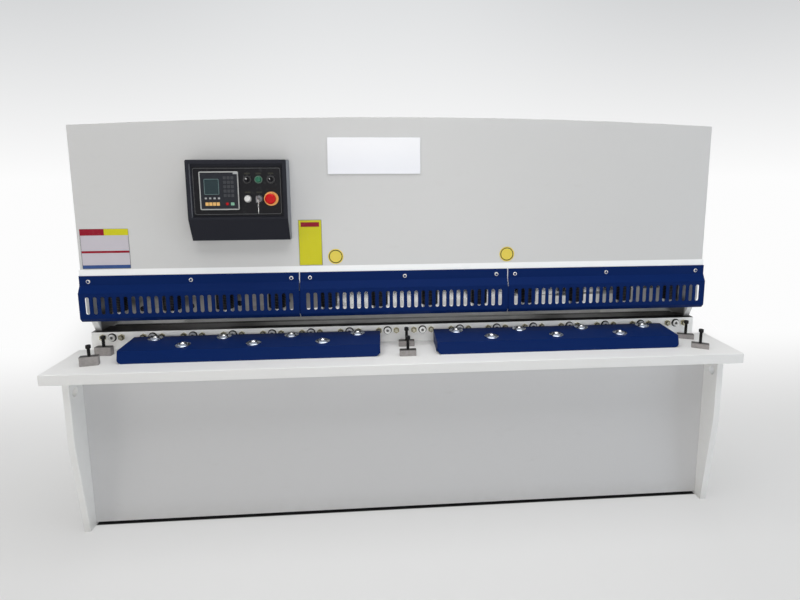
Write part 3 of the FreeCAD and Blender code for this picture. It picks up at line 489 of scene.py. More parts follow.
def screenCoat():
    # liquid crystal screen, unlit teal glass with faint rows of cells
    coat = Coat("screenGlass")
    rows = coat.step((coat.z * 620.0).wave(), 0.2, 0.9)
    cloud = coat.noise(45, 4)
    tone = coat.blend(cloud, (0.012, 0.028, 0.033), (0.020, 0.040, 0.046))
    coat.feed("Base Color", coat.blend(rows * 0.12, tone, (0.01, 0.02, 0.025)))
    coat.feed("Roughness", 0.20 + cloud * 0.1)
    coat.fix(Specular_IOR_Level=0.25)
    coat.bump(cloud, 0.05, 0.0002)
    return coat


for special in (railCoat(), nutCoat(), chuteCoat(), upperBladeCoat(), lowerBladeCoat(), holdDownCoat(),
                seatCoat(), gaugeCoat(), unitCoat(), bezelCoat(), plateCoat(), screenCoat()):
    coats[special.material.name] = special
print("finishes made,", len(coats))

nodeCoats = {
    "framePaint": ["left_side_frame", "right_side_frame"],
    "whitePaint": ["foot_plates", "work_table", "table_beam", "holddown_carrier", "beam_arms", "ram_shelf",
                   "oil_tank", "electric_cabinet", "rear_ties"],
    "panelPaintShaded": ["front_panel"],
    "apronPaintShaded": ["front_apron"],
    "chuteSteel": ["scrap_chute"],
    "beamPaintLit": ["swing_beam"],
    "bluePaint": ["finger_guard_left", "finger_guard_centre", "finger_guard_right", "ball_trays"],
    "charcoalPaint": ["control_box"],
    "motorPaint": ["motor_pump"],
    "railSteel": ["blade_rail"],
    "zincScrews": ["rail_screws"],
    "bladeSteel": ["gauge_bar"],
    "upperSteel": ["upper_blade"],
    "lockSteel": ["key_switch"],
    "oiledShadedBlade": ["lower_blade"],
    "threadedSteel": ["holddown_cylinders"],
    "darkSteel": ["pivot_pins", "ram_cylinders"],
    "brightSteel": ["holddown_plungers", "ball_units", "ram_rods"],
    "seatSteel": ["support_seats"],
    "blackOxide": ["seat_screws"],
    "gaugeFinish": ["gauge_rails"],
    "panelBlack": ["control_faceplate", "left_selector", "right_selector"],
    "unitGrey": ["controller_unit"],
    "bezelRings": ["button_bezels"],
    "greenPlastic": ["green_button"],
    "whitePlastic": ["white_button"],
    "redPlastic": ["emergency_stop"],
    "clearPlate": ["name_plate"],
}
coatOf = {node: name for name, members in nodeCoats.items() for node in members}
for name, piece in nodes.items():
    piece.data.materials.clear()
    piece.data.materials.append(coats[coatOf[name]].material)


# Small tools for the pieces
def finished(bm, name, coat, body=root, smooth=30, bevel=0.0, replaced=()):
    bmesh.ops.remove_doubles(bm, verts=bm.verts, dist=1e-6)
    bmesh.ops.recalc_face_normals(bm, faces=bm.faces)
    mesh = bpy.data.meshes.new(name)
    bm.to_mesh(mesh)
    bm.free()
    for face in mesh.polygons:
        face.use_smooth = True
    mesh.set_sharp_from_angle(angle=math.radians(smooth))
    mesh.materials.append(coats[coat].material)
    piece = bpy.data.objects.new(name, mesh)
    bpy.context.scene.collection.objects.link(piece)
    if bevel:
        edges = piece.modifiers.new("edges", "BEVEL")
        edges.width, edges.segments, edges.limit_method = bevel, 2, "ANGLE"
        edges.angle_limit, edges.harden_normals = math.radians(40), True
    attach(piece, body)
    if replaced:
        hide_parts(*replaced)
    return piece


def grown(bm, before):
    return [v for v in bm.verts if v not in before]


def slab(bm, low, high, edge=0.0, turn=None):
    before = set(bm.verts)
    low, high = Vector(low), Vector(high)
    made = bmesh.ops.create_cube(bm, size=1)["verts"]
    bmesh.ops.scale(bm, vec=high - low, verts=made)
    if edge:
        rims = list({e for v in made for e in v.link_edges})
        bmesh.ops.bevel(bm, geom=rims, offset=edge, segments=2, profile=0.5, material=-1, affect="EDGES")
    if turn:
        bmesh.ops.rotate(bm, cent=(0, 0, 0), matrix=turn, verts=grown(bm, before))
    bmesh.ops.translate(bm, vec=(low + high) / 2, verts=grown(bm, before))


def tile(bm, box, y, rise, corner=0.0, rim=0.0):
    # a flat tile facing the operator with rounded corners; with a rim only its outline is left
    left, low, right, top = box
    before = set(bm.faces)
    middle = Matrix.Translation(((left + right) / 2, y, (low + top) / 2))
    stand = middle @ Matrix.Rotation(math.pi / 2, 4, "X")
    shape = Matrix.Diagonal((right - left, top - low, 1, 1))
    made = bmesh.ops.create_grid(bm, x_segments=1, y_segments=1, size=0.5, matrix=stand @ shape)["verts"]
    if corner:
        bmesh.ops.bevel(bm, geom=made, offset=corner, segments=4, profile=0.5, material=-1, affect="VERTICES")
    face = [f for f in bm.faces if f not in before][0]
    sheet = [face]
    if rim:
        sheet = bmesh.ops.inset_region(bm, faces=[face], thickness=rim, use_boundary=True,
                                       use_even_offset=True)["faces"]
        bmesh.ops.delete(bm, geom=[face], context="FACES_ONLY")
    raised = bmesh.ops.extrude_face_region(bm, geom=sheet)["geom"]
    lifted = [v for v in raised if isinstance(v, bmesh.types.BMVert)]
    bmesh.ops.translate(bm, vec=(0, -rise, 0), verts=lifted)


def turned(bm, profile, spot, axis=front, steps=20):
    # a lathe: the profile gives (radius, height along the axis) from one end to the other
    before = set(bm.verts)
    points = [bm.verts.new((r, 0, h)) for r, h in profile]
    lines = [bm.edges.new(pair) for pair in zip(points, points[1:])]
    bmesh.ops.spin(bm, geom=points + lines, cent=(0, 0, 0), axis=(0, 0, 1), angle=math.tau, steps=steps,
                   use_merge=True)
    bmesh.ops.remove_doubles(bm, verts=grown(bm, before), dist=1e-6)
    aim = Vector((0, 0, 1)).rotation_difference(Vector(axis)).to_matrix()
    bmesh.ops.rotate(bm, cent=(0, 0, 0), matrix=aim, verts=grown(bm, before))
    bmesh.ops.translate(bm, vec=spot, verts=grown(bm, before))


def prism(bm, spot, axis, radius, height, sides=6, edge=0.0):
    # a hexagon head or any other straight stub with flat ends
    before = set(bm.verts)
    bmesh.ops.create_cone(bm, cap_ends=True, segments=sides, radius1=radius, radius2=radius, depth=height)
    if edge:
        rims = [e for e in bm.edges if e.verts[0] not in before and e.verts[1] not in before
                and abs(e.verts[0].co.z - e.verts[1].co.z) < 1e-6]
        bmesh.ops.bevel(bm, geom=rims, offset=edge, segments=2, profile=0.5, material=-1, affect="EDGES")
    aim = Vector((0, 0, 1)).rotation_difference(Vector(axis)).to_matrix()
    bmesh.ops.rotate(bm, cent=(0, 0, 0), matrix=aim, verts=grown(bm, before))
    middle = Vector(spot) + Vector(axis) * height / 2
    bmesh.ops.translate(bm, vec=middle, verts=grown(bm, before))


def hexBolt(bm, spot, axis, radius):
    # washer under a hexagon head
    prism(bm, spot, axis, radius * 1.45, radius * 0.22, 20)
    prism(bm, Vector(spot) + Vector(axis) * radius * 0.22, axis, radius, radius * 0.8, 6, radius * 0.10)


def capScrew(bm, spot, axis, radius, high=0.9):
    # socket cap screw with a rounded rim and its socket
    top = radius * high
    turned(bm, [(0, top * 0.4), (radius * 0.52, top * 0.4), (radius * 0.52, top), (radius * 0.86, top),
                (radius, top * 0.84), (radius, 0), (0, 0)], spot, axis, 16)


def pipe(bm, route, radius, bend, steps=12):
    # a rigid pipe: straight runs with a swept elbow at each corner of the route
    points = [Vector(p) for p in route]
    heading = (points[1] - points[0]).normalized()
    stand = Matrix.Translation(points[0]) @ heading.to_track_quat("Z", "Y").to_matrix().to_4x4()
    verts = bmesh.ops.create_circle(bm, segments=steps, radius=radius, matrix=stand)["verts"]
    ring = list({e for v in verts for e in v.link_edges})
    at = points[0]
    for corner, after in zip(points[1:], points[2:] + [None]):
        heading = (corner - at).normalized()
        stop = corner if after is None else corner - heading * bend
        made = bmesh.ops.extrude_edge_only(bm, edges=ring)["geom"]
        ring = [g for g in made if isinstance(g, bmesh.types.BMEdge)]
        bmesh.ops.translate(bm, vec=stop - at, verts=[g for g in made if isinstance(g, bmesh.types.BMVert)])
        if after is not None:
            turn = (after - corner).normalized()
            made = bmesh.ops.spin(bm, geom=ring, cent=stop + turn * bend, axis=heading.cross(turn),
                                  angle=heading.angle(turn), steps=6)["geom_last"]
            ring = [g for g in made if isinstance(g, bmesh.types.BMEdge)]
            at = corner + turn * bend


def tiled(name, coat, boxes, y, rise, corner=0.0, rim=0.0, bevel=0.0):
    # one piece made of flat tiles
    bm = bmesh.new()
    for box in boxes:
        tile(bm, box, y, rise, corner, rim)
    finished(bm, name, coat, bevel=bevel)


def lathed(name, coat, profile, spots, axis=front, steps=20):
    # one piece made of the same turned shape at each spot
    bm = bmesh.new()
    for spot in spots:
        turned(bm, profile, spot, axis, steps)
    finished(bm, name, coat)


def softened(node, edge):
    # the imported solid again, with its sharp edges broken as a plate shop leaves them
    bm = bmesh.new()
    bm.from_mesh(nodes[node].data)
    bmesh.ops.remove_doubles(bm, verts=bm.verts, dist=1e-6)
    bmesh.ops.dissolve_limit(bm, angle_limit=math.radians(0.5), verts=bm.verts, edges=bm.edges)
    return finished(bm, node + "_edged", coatOf[node], nodes[node]["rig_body"], 35, edge, (node,))


# Edges of the plates and housings
brokenEdges = {
    "work_table": 0.0025, "front_apron": 0.001, "front_panel": 0.0015, "blade_rail": 0.0012,
    "left_side_frame": 0.0012, "right_side_frame": 0.0012, "table_beam": 0.001, "control_box": 0.0018,
    "control_faceplate": 0.0004, "controller_unit": 0.001, "support_seats": 0.0012, "name_plate": 0.0006,
    "ram_shelf": 0.001, "electric_cabinet": 0.002, "rear_ties": 0.002, "gauge_rails": 0.001,
    "beam_arms": 0.001, "foot_plates": 0.001, "holddown_carrier": 0.001, "left_selector": 0.0008,
    "right_selector": 0.0008,
}
for name, edge in brokenEdges.items():
    softened(name, edge)
print("edges broken,", len(brokenEdges))

# Screws that hold the guards: a bright washer and head with a blue middle
guardScrews = {
    "across": [-1.256, -0.861, -0.464, -0.389, -0.0015, 0.383, 0.462, 0.857, 1.254],
    "face": -0.576, "height": 0.9775, "washer": 0.0078, "head": 0.0060,
    "joint": 0.4313, "strapHalf": 0.006, "strapBack": (-0.5909, -0.5889), "strapHigh": (0.830, 0.927),
}


def makeGuardScrews():
    heads, sockets = bmesh.new(), bmesh.new()
    washer, head = guardScrews["washer"], guardScrews["head"]
    for x in guardScrews["across"]:
        spot = (x, guardScrews["face"], guardScrews["height"])
        turned(heads, [(0, 0.0042), (head * 0.72, 0.0046), (head * 0.86, 0.0042), (head, 0.0024),
                       (head, 0.0015), (washer, 0.0014), (washer, 0), (0, 0)], spot)
        prism(sockets, Vector(spot) + Vector(front) * 0.0042, front, head * 0.80, 0.0005, 12)
    finished(heads, "guardScrews", "brightSteel")
    finished(sockets, "guardSockets", "bluePaint")
    bm = bmesh.new()
    (near, far), (low, high) = guardScrews["strapBack"], guardScrews["strapHigh"]
    for side in (-1, 1):  # straps behind the joints between the guards; their dark blue also paints the shade in the gaps
        x, half = side * guardScrews["joint"], guardScrews["strapHalf"]
        slab(bm, (x - half, near, low), (x + half, far, high), 0.0005)
    finished(bm, "guardStraps", "bluePaint")


makeGuardScrews()


# Black rings under the middle screws of the rail: painted shade round the heads in their counterbores
def makeRailShadeRings():
    head = screwGroups["head"]
    profile = [(head * 0.9, 0.0012), (head * 1.22, 0.0012), (head * 1.28, 0.0006), (head * 1.28, 0),
               (head * 0.9, 0), (head * 0.9, 0.0012)]
    across = [side * (screwGroups["middle"] + k * screwGroups["pitch"])
              for side in (-1, 1) for k in range(screwGroups["side"])]
    spots = [(x, screwGroups["face"], screwGroups["height"]) for x in across]
    lathed("railShadeRings", "blackOxide", profile, spots, steps=24)


makeRailShadeRings()

# Ball units: pressed flange with three screws, rolled cup and polished ball; a black ring round each ball is
# painted shade, and the flange's blue tint is a painted reflection of the trays
ballUnits = {
    "slide": 0.007, "first": 0.208, "pitch": 0.27333, "rear": -0.565, "front": -0.648, "fold": -0.698,
    "foldHeight": 0.728, "rise": 0.006 / 0.159, "flange": 0.029, "cup": 0.019, "ball": 0.013,
}


def makeBallUnits():
    shells, balls, paintedShade = bmesh.new(), bmesh.new(), bmesh.new()
    look = ballUnits
    axis = Vector((0, -look["rise"], 1)).normalized()
    flange, cup, ball = look["flange"], look["cup"], look["ball"]
    rows = [(look["first"] + k * look["pitch"], look["rear"]) for k in range(4)]
    rows += [(look["first"] + (k + 0.5) * look["pitch"], look["front"]) for k in range(3)]
    spots = [(side * x + look["slide"], y) for side in (-1, 1) for x, y in rows]
    for k, (x, y) in enumerate(spots):
        spot = Vector((x, y, look["foldHeight"] + (y - look["fold"]) * look["rise"]))
        turned(shells, [(0, 0.0030), (ball * 0.92, 0.0035), (ball * 1.02, 0.0072), (cup * 0.80, 0.0084),
                        (cup * 0.90, 0.0078), (cup * 0.97, 0.0055), (cup * 1.05, 0.0024),
                        (flange * 0.80, 0.0018), (flange * 0.90, 0.0028), (flange * 0.96, 0.0034),
                        (flange, 0.0024), (flange, 0), (0, 0)], spot, axis, 28)
        turned(paintedShade, [(ball * 0.86, 0.0070), (ball * 0.99, 0.0075), (ball * 1.02, 0.0070),
                      (ball * 0.86, 0.0040), (ball * 0.86, 0.0070)], spot, axis, 24)
        arc = [(ball * 0.88 * math.sin(a), 0.0025 + ball * 0.88 * math.cos(a)) for a in
               [math.radians(10 * n) for n in range(0, 11)]]
        turned(balls, arc, spot, axis, 24)
        for n in range(3):
            way = Matrix.Rotation(math.radians(120 * n + 30 * k), 3, axis) @ Vector((1, 0, 0))
            capScrew(shells, spot + way * flange * 0.80 + axis * 0.0018, axis, 0.0024, 0.7)
    finished(shells, "ball_cups", "flangeSteelBlueReflection", replaced=("ball_units",))
    finished(balls, "ball_spheres", "ballSteel")
    finished(paintedShade, "ball_shade_rings", "rubberBlack")


makeBallUnits()

# Seat screws with a threaded shank under a socket head
seatScrews = {
    "spots": [(-1.210, -0.708, 0.717), (-1.210, -0.596, 0.716), (0.003, -0.704, 0.705),
              (0.003, -0.588, 0.705), (1.210, -0.721, 0.701), (1.218, -0.596, 0.701)],
    "top": 0.760, "shank": 0.006, "head": 0.0095, "high": 0.012, "thread": 0.00175,
}


def makeSeatScrews():
    bm = bmesh.new()
    look = seatScrews
    for x, y, seat in look["spots"]:
        under = look["top"] - look["high"] - seat
        turns = int(under / look["thread"])
        profile = [(0, 0)]
        for k in range(turns):
            profile.append((look["shank"] * 0.88, k * look["thread"]))
            profile.append((look["shank"], (k + 0.5) * look["thread"]))
        profile += [(look["shank"] * 0.88, under), (look["head"], under), (look["head"], under + 0.0105),
                    (look["head"] * 0.92, under + 0.012), (look["head"] * 0.55, under + 0.012),
                    (look["head"] * 0.55, under + 0.006), (0, under + 0.006)]
        turned(bm, profile, (x, y, seat), upward, 18)
    finished(bm, "seatScrews_threaded", "blackOxide", replaced=("seat_screws",))


makeSeatScrews()

# Bolts that hold the upper blade, seen through the slots of the guards
bladeBolts = {"count": 12, "reach": 1.13, "face": -0.405, "radius": 0.011, "left": 0.774, "rake": 0.092,
              "half": 1.240, "above": 0.040}


def makeBladeBolts():
    rings, holes = bmesh.new(), bmesh.new()
    look = bladeBolts
    for k in range(look["count"]):
        x = -look["reach"] + 2 * look["reach"] * k / (look["count"] - 1)
        z = look["left"] + (look["half"] + x) * look["rake"] / (2 * look["half"]) + look["above"]
        r = look["radius"]
        turned(rings, [(r * 0.5, 0.0004), (r, 0.0004), (r * 1.1, 0)], (x, look["face"], z), front, 20)
        prism(holes, (x, look["face"], z), front, r * 0.5, 0.0005)
    finished(rings, "bladeBolts", "blackOxide", "swing_beam")
    finished(holes, "bladeSockets", "rubberBlack", "swing_beam")


makeBladeBolts()
print("fixings made")

# Controller face: screen, keys and rims
controller = {
    "face": -0.641, "screen": (-0.7645, 1.323, -0.7135, 1.3785), "rim": 0.0022,
    "pad": (-0.6965, 1.309, -0.6545, 1.393), "padGrid": (3, 5),
    "softKeys": {"start": -0.7625, "pitch": 0.0163, "half": 0.0038, "low": 1.3035, "top": 1.3100},
    "amberKeys": {"start": -0.7590, "pitch": 0.0138, "half": 0.0058, "low": 1.2785, "top": 1.2915},
    "redKey": (-0.6830, 1.285), "greenKey": (-0.670, 1.2795, -0.657, 1.2905),
    "badge": (-0.657, 1.3985, -0.640, 1.4065),
}


def makeController():
    y = controller["face"]
    left, low, right, top = controller["screen"]
    rim = controller["rim"]
    bm = bmesh.new()
    tile(bm, (left, low, right, top), y + 0.0002, 0.0010, 0.0015)
    finished(bm, "screenPane", "screenGlass")
    bm = bmesh.new()
    tile(bm, (left - rim, low - rim, right + rim, top + rim), y + 0.0002, 0.0018, 0.0035, rim)
    finished(bm, "screenRim", "tealInk", bevel=0.0003)
    bm = bmesh.new()
    left, low, right, top = controller["pad"]
    across, down = controller["padGrid"]
    wide, high = (right - left) / across, (top - low) / down
    for column in range(across):
        for row in range(down):
            x, z = left + (column + 0.5) * wide, low + (row + 0.5) * high
            tile(bm, (x - wide * 0.38, z - high * 0.34, x + wide * 0.38, z + high * 0.34), y + 0.0002, 0.0014,
                 0.0015)
    finished(bm, "padKeys", "keyGrey", bevel=0.0003)
    for name, coat, slot in (("softKeys", "softKey", "white_plastic"),
                             ("amberKeys", "amberKey", "unit_grey")):
        row = controller[name]
        bm = bmesh.new()
        for k in range(4):
            x = row["start"] + k * row["pitch"]
            tile(bm, (x - row["half"], row["low"], x + row["half"], row["top"]), y + 0.0002, 0.0014, 0.0012)
        finished(bm, name, coat, bevel=0.0003)
    x, z = controller["redKey"]
    lathed("redKeyRing", "darkRed",
           [(0.0046, 0.0018), (0.0066, 0.0016), (0.0074, 0.0008), (0.0074, -0.0002), (0.0046, -0.0002),
            (0.0046, 0.0018)], [(x, y, z)])
    lathed("redKey", "redPlastic",
           [(0, 0.0022), (0.0036, 0.0020), (0.0046, 0.0012), (0.0046, -0.0002), (0, -0.0002)], [(x, y, z)])
    for name, coat, slot, box, rise, corner in (
            ("greenKey", "paleGreen", "green_plastic", controller["greenKey"], 0.0014, 0.0018),
            ("bareBadge", "softKey", "unit_grey", controller["badge"], 0.0024, 0.0010)):
        tiled(name, coat, [box], y + 0.0002, rise, corner, bevel=0.0003)


faceplate = {
    "face": -0.636, "outline": (-0.8085, 1.2445, -0.4805, 1.4215), "corner": 0.007, "line": 0.0013,
    "screws": [(-0.8035, 1.2495), (-0.4855, 1.2495), (-0.8035, 1.4165), (-0.4855, 1.4165)],
    "selectors": [(-0.606, 1.3775), (-0.517, 1.3775)],
    "pointerFace": (-0.6567, -0.6559), "pointerHalf": (0.0010, 0.0028), "tagHalf": (0.0105, 0.0032),
    "pointers": {"left_selector": [(-0.6073, 1.3815, 35), (-0.6047, 1.3815, -35)],
                 "right_selector": [(-0.5178, 1.3805, -28)]},
    "tags": [(-0.606, 1.4005), (-0.563, 1.4005), (-0.517, 1.4005), (-0.606, 1.3285), (-0.563, 1.3285)],
}


def makeFaceplateMarks():
    y = faceplate["face"]
    bm = bmesh.new()
    tile(bm, faceplate["outline"], y + 0.0001, 0.0003, faceplate["corner"], faceplate["line"])
    finished(bm, "plateLine", "greyInk")
    lathed("plateScrews", "blackOxide",
           [(0, 0.0006), (0.0012, 0.0012), (0.0021, 0.0010), (0.0026, 0), (0, 0)],
           [(x, y, z) for x, z in faceplate["screws"]], steps=14)
    bm = bmesh.new()
    for x, z in faceplate["selectors"]:  # plain dial marks round the selectors
        for angle in (-45, 0, 45):
            aim = Matrix.Rotation(math.radians(angle), 3, "Y")
            spot = Vector((x, y, z)) + aim @ Vector((0, 0, 0.0185))
            slab(bm, spot - Vector((0.0005, 0.0002, 0.0014)), spot + Vector((0.0005, 0.0001, 0.0014)))
    finished(bm, "dialMarks", "greyInk")
    (near, far), (half, tall) = faceplate["pointerFace"], faceplate["pointerHalf"]
    for body, strokes in faceplate["pointers"].items():
        bm = bmesh.new()
        for x, z, lean in strokes:
            slab(bm, (x - half, near, z - tall), (x + half, far, z + tall), 0.0002,
                 Matrix.Rotation(math.radians(lean), 3, "Y"))
        finished(bm, body + "_pointer", "whitePlastic", body)
    half, tall = faceplate["tagHalf"]  # blank legend tags over the buttons
    tags = [(x - half, z - tall, x + half, z + tall) for x, z in faceplate["tags"]]
    tiled("blankTags", "darkInk", tags, y + 0.0001, 0.0005, 0.001)


# The key: a ring through its bow and a second key that hangs from it
keyRing = {"spot": (-0.557, -0.684, 1.2965), "radius": 0.0085, "wire": 0.0009,
           "hanging": {"low": 1.251, "shoulder": 1.274, "half": 0.0009, "blade": 0.0036, "bow": 0.0085,
                       "bowHeight": 1.2805}}


def makeKeyRing():
    bm = bmesh.new()
    x, y, z = keyRing["spot"]
    radius = keyRing["radius"]
    stand = Matrix.Translation((x, y, z + radius)) @ Matrix.Rotation(math.pi / 2, 4, "X")
    wire = bmesh.ops.create_circle(bm, segments=8, radius=keyRing["wire"], matrix=stand)["verts"]
    edges = list({e for v in wire for e in v.link_edges})
    bmesh.ops.spin(bm, geom=edges, cent=(x, y, z), axis=(1, 0, 0), angle=math.tau, steps=28, use_merge=True)
    finished(bm, "keyRing", "brightSteel", "key_switch", 60)
    bm = bmesh.new()
    look = keyRing["hanging"]
    half, blade, bow = look["half"], look["blade"], look["bow"]
    slab(bm, (x - half, y - blade, look["low"]), (x + half, y + blade, look["shoulder"]), 0.0003)
    turned(bm, [(0.0028, half), (0.0080, half), (bow, 0.0005), (bow, -0.0005), (0.0080, -half),
                (0.0028, -half), (0.0028, half)], (x, y, look["bowHeight"]), rightward)
    finished(bm, "hangingKey", "brightSteel", "key_switch")


makeController()
makeFaceplateMarks()
makeKeyRing()
print("control panel dressed")

# Blank labels and discs on the panel: plain coloured films, no lettering
panelFace = -0.570
labels = {
    "leftSheet": {"box": (-1.274, 1.028, -1.091, 1.186), "bands": [
        ("blueFilm", 0.0, 0.09, 0.0, 1.0), ("whiteFilm", 0.09, 0.395, 0.0, 1.0),
        ("redFilm", 0.395, 0.45, 0.0, 1.0), ("whiteFilm", 0.45, 0.84, 0.0, 1.0),
        ("redFilm", 0.84, 1.0, 0.0, 0.5), ("yellowFilm", 0.84, 1.0, 0.5, 1.0)]},
    "middleSheet": {"box": (-0.429, 1.028, -0.337, 1.213), "bands": [
        ("yellowFilm", 0.0, 1.0, 0.0, 1.0), ("redFilm", 0.85, 0.95, 0.10, 0.90)]},
}
discs = {"spots": [(-0.283, 1.062), (0.427, 1.061)], "outer": 0.0315, "ring": 0.0275, "inner": 0.0240}


def makeLabels():
    for name, label in labels.items():
        left, low, right, top = label["box"]
        wide, high = right - left, top - low
        for k, (coat, start, end, near, far) in enumerate(label["bands"]):
            bm = bmesh.new()
            tile(bm, (left + wide * near, low + high * start, left + wide * far, low + high * end),
                 panelFace + 0.0001, 0.0005 + 0.0001 * k, 0.002 if start == 0 and end == 1 else 0.0)
            finished(bm, name + str(k), coat)
        bm = bmesh.new()
        tile(bm, (left - 0.0006, low - 0.0006, right + 0.0006, top + 0.0006), panelFace + 0.0001, 0.0008,
             0.0026, 0.0016)
        finished(bm, name + "Edge", "greyInk")
    for name, coat, outer, rise in (("signOuter", "discFilm", discs["outer"], 0.0005),
                                    ("signRing", "darkInk", discs["ring"], 0.0008),
                                    ("signInner", "discFilm", discs["inner"], 0.0011)):
        profile = [(0, rise), (outer - 0.0004, rise), (outer, rise - 0.0003), (outer, -0.0001), (0, -0.0001)]
        lathed(name, coat, profile, [(x, panelFace, z) for x, z in discs["spots"]], steps=36)


makeLabels()
print("labels laid, blank")

# Hydraulic unit on the shelf: manifold with valves, steel pipes, fittings, level glass and caps
unit = {
    "manifold": ((-0.10, -0.40, 1.498), (0.06, -0.19, 1.566)),
    "valves": [-0.345, -0.265], "valveRadius": 0.021, "valveLong": 0.105,
    "ram": (1.165, -0.228, 1.400), "pipeRadius": 0.009, "pipeHigh": 1.573, "pipeInlet": 1.532,
    "pipeDrop": 0.09, "filler": (0.20995, -0.335, 1.543), "glass": (-0.30, -0.165, 1.27),
    "glassHigh": 0.15, "drain": (0.36, -0.165, 1.235),
    "lidTop": 1.498, "lidBolts": [(-0.40, -0.49), (-0.13, -0.49), (0.13, -0.49), (0.40, -0.49),
                                  (-0.40, -0.18), (-0.16, -0.18), (0.13, -0.18), (0.40, -0.18)],
}


def makeHydraulics():
    bm = bmesh.new()
    slab(bm, *unit["manifold"], 0.003)
    finished(bm, "manifold", "pipeSteel")
    low, high = unit["manifold"]
    coils, cores = bmesh.new(), bmesh.new()
    radius, long = unit["valveRadius"], unit["valveLong"]
    for y in unit["valves"]:
        start = (low[0], y, (low[2] + high[2]) / 2)
        turned(cores, [(0, long), (0.008, long), (0.010, long * 0.9), (0.010, 0), (0, 0)], start, (-1, 0, 0))
        turned(coils, [(0.010, long * 0.82), (radius * 0.9, long * 0.82), (radius, long * 0.78),
                       (radius, long * 0.22), (radius * 0.9, long * 0.18), (0.010, long * 0.18),
                       (0.010, long * 0.82)], start, (-1, 0, 0), 24)
    finished(cores, "valveCores", "brightSteel")
    finished(coils, "valveCoils", "rubberBlack")
    x, y, z = unit["ram"]
    radius, level, inlet = unit["pipeRadius"], unit["pipeHigh"], unit["pipeInlet"]
    lines, nuts = bmesh.new(), bmesh.new()
    for side in (-1, 1):
        turned(nuts, [(0, 0.022), (0.016, 0.022), (0.020, 0.018), (0.022, 0), (0, 0)],
               (side * x, y, z), upward)
        prism(nuts, (side * x, y, z + 0.020), upward, 0.016, 0.016, 6, 0.0015)
        end = high[0] if side > 0 else low[0]
        drop = end + side * unit["pipeDrop"]
        pipe(lines, [(side * x, y, z + 0.025), (side * x, y, level), (drop, y, level), (drop, y, inlet),
                     (end, y, inlet)], radius, 0.020)
        prism(nuts, (end, y, inlet), (side, 0, 0), 0.016, 0.016, 6, 0.0015)
    finished(lines, "ramPipes", "pipeSteel", smooth=50)
    finished(nuts, "ramFittings", "pipeSteel")
    bm = bmesh.new()
    x, y, z = unit["filler"]
    ribs = 24
    turned(bm, [(0, 0.020), (0.026, 0.020), (0.034, 0.016), (0.036, 0.004), (0.036, 0), (0, 0)], (x, y, z),
           upward, 32)
    for k in range(ribs):
        way = Matrix.Rotation(math.tau * k / ribs, 3, "Z") @ Vector((1, 0, 0))
        prism(bm, Vector((x, y, z + 0.002)) + way * 0.0355, upward, 0.0022, 0.013, 6)
    finished(bm, "fillerCap", "rubberBlack")
    x, y, z = unit["glass"]
    tall = unit["glassHigh"]
    bm = bmesh.new()
    slab(bm, (x - 0.014, y, z), (x + 0.014, y + 0.012, z + tall), 0.002)
    finished(bm, "levelFrame", "brightSteel")
    bm = bmesh.new()
    slab(bm, (x - 0.007, y + 0.011, z + 0.02), (x + 0.007, y + 0.0135, z + tall - 0.02), 0.001)
    finished(bm, "levelGlass", "amberGlass")
    bm = bmesh.new()
    for boltX, boltY in unit["lidBolts"]:
        hexBolt(bm, (boltX, boltY, unit["lidTop"]), upward, 0.0065)
    for height in (z + 0.010, z + tall - 0.010):
        hexBolt(bm, (x, y + 0.012, height), rear, 0.0055)
    hexBolt(bm, unit["drain"], rear, 0.0115)
    finished(bm, "tankBolts", "brightSteel")


# Motor: fan cowl with slots, terminal box with gland and conduit, coupling ring with bolts
motor = {"end": 0.8598, "axis": (-0.335, 1.335), "cowl": 0.098, "slots": 18, "ring": 0.5498,
         "box": ((0.655, -0.385, 1.438), (0.755, -0.290, 1.492)), "gland": (0.705, -0.385, 1.462),
         "conduit": [(0.705, -0.400, 1.462), (0.705, -0.538, 1.462), (0.705, -0.538, 1.262),
                     (-0.480, -0.538, 1.262), (-0.480, -0.480, 1.262), (-0.5198, -0.480, 1.262)]}


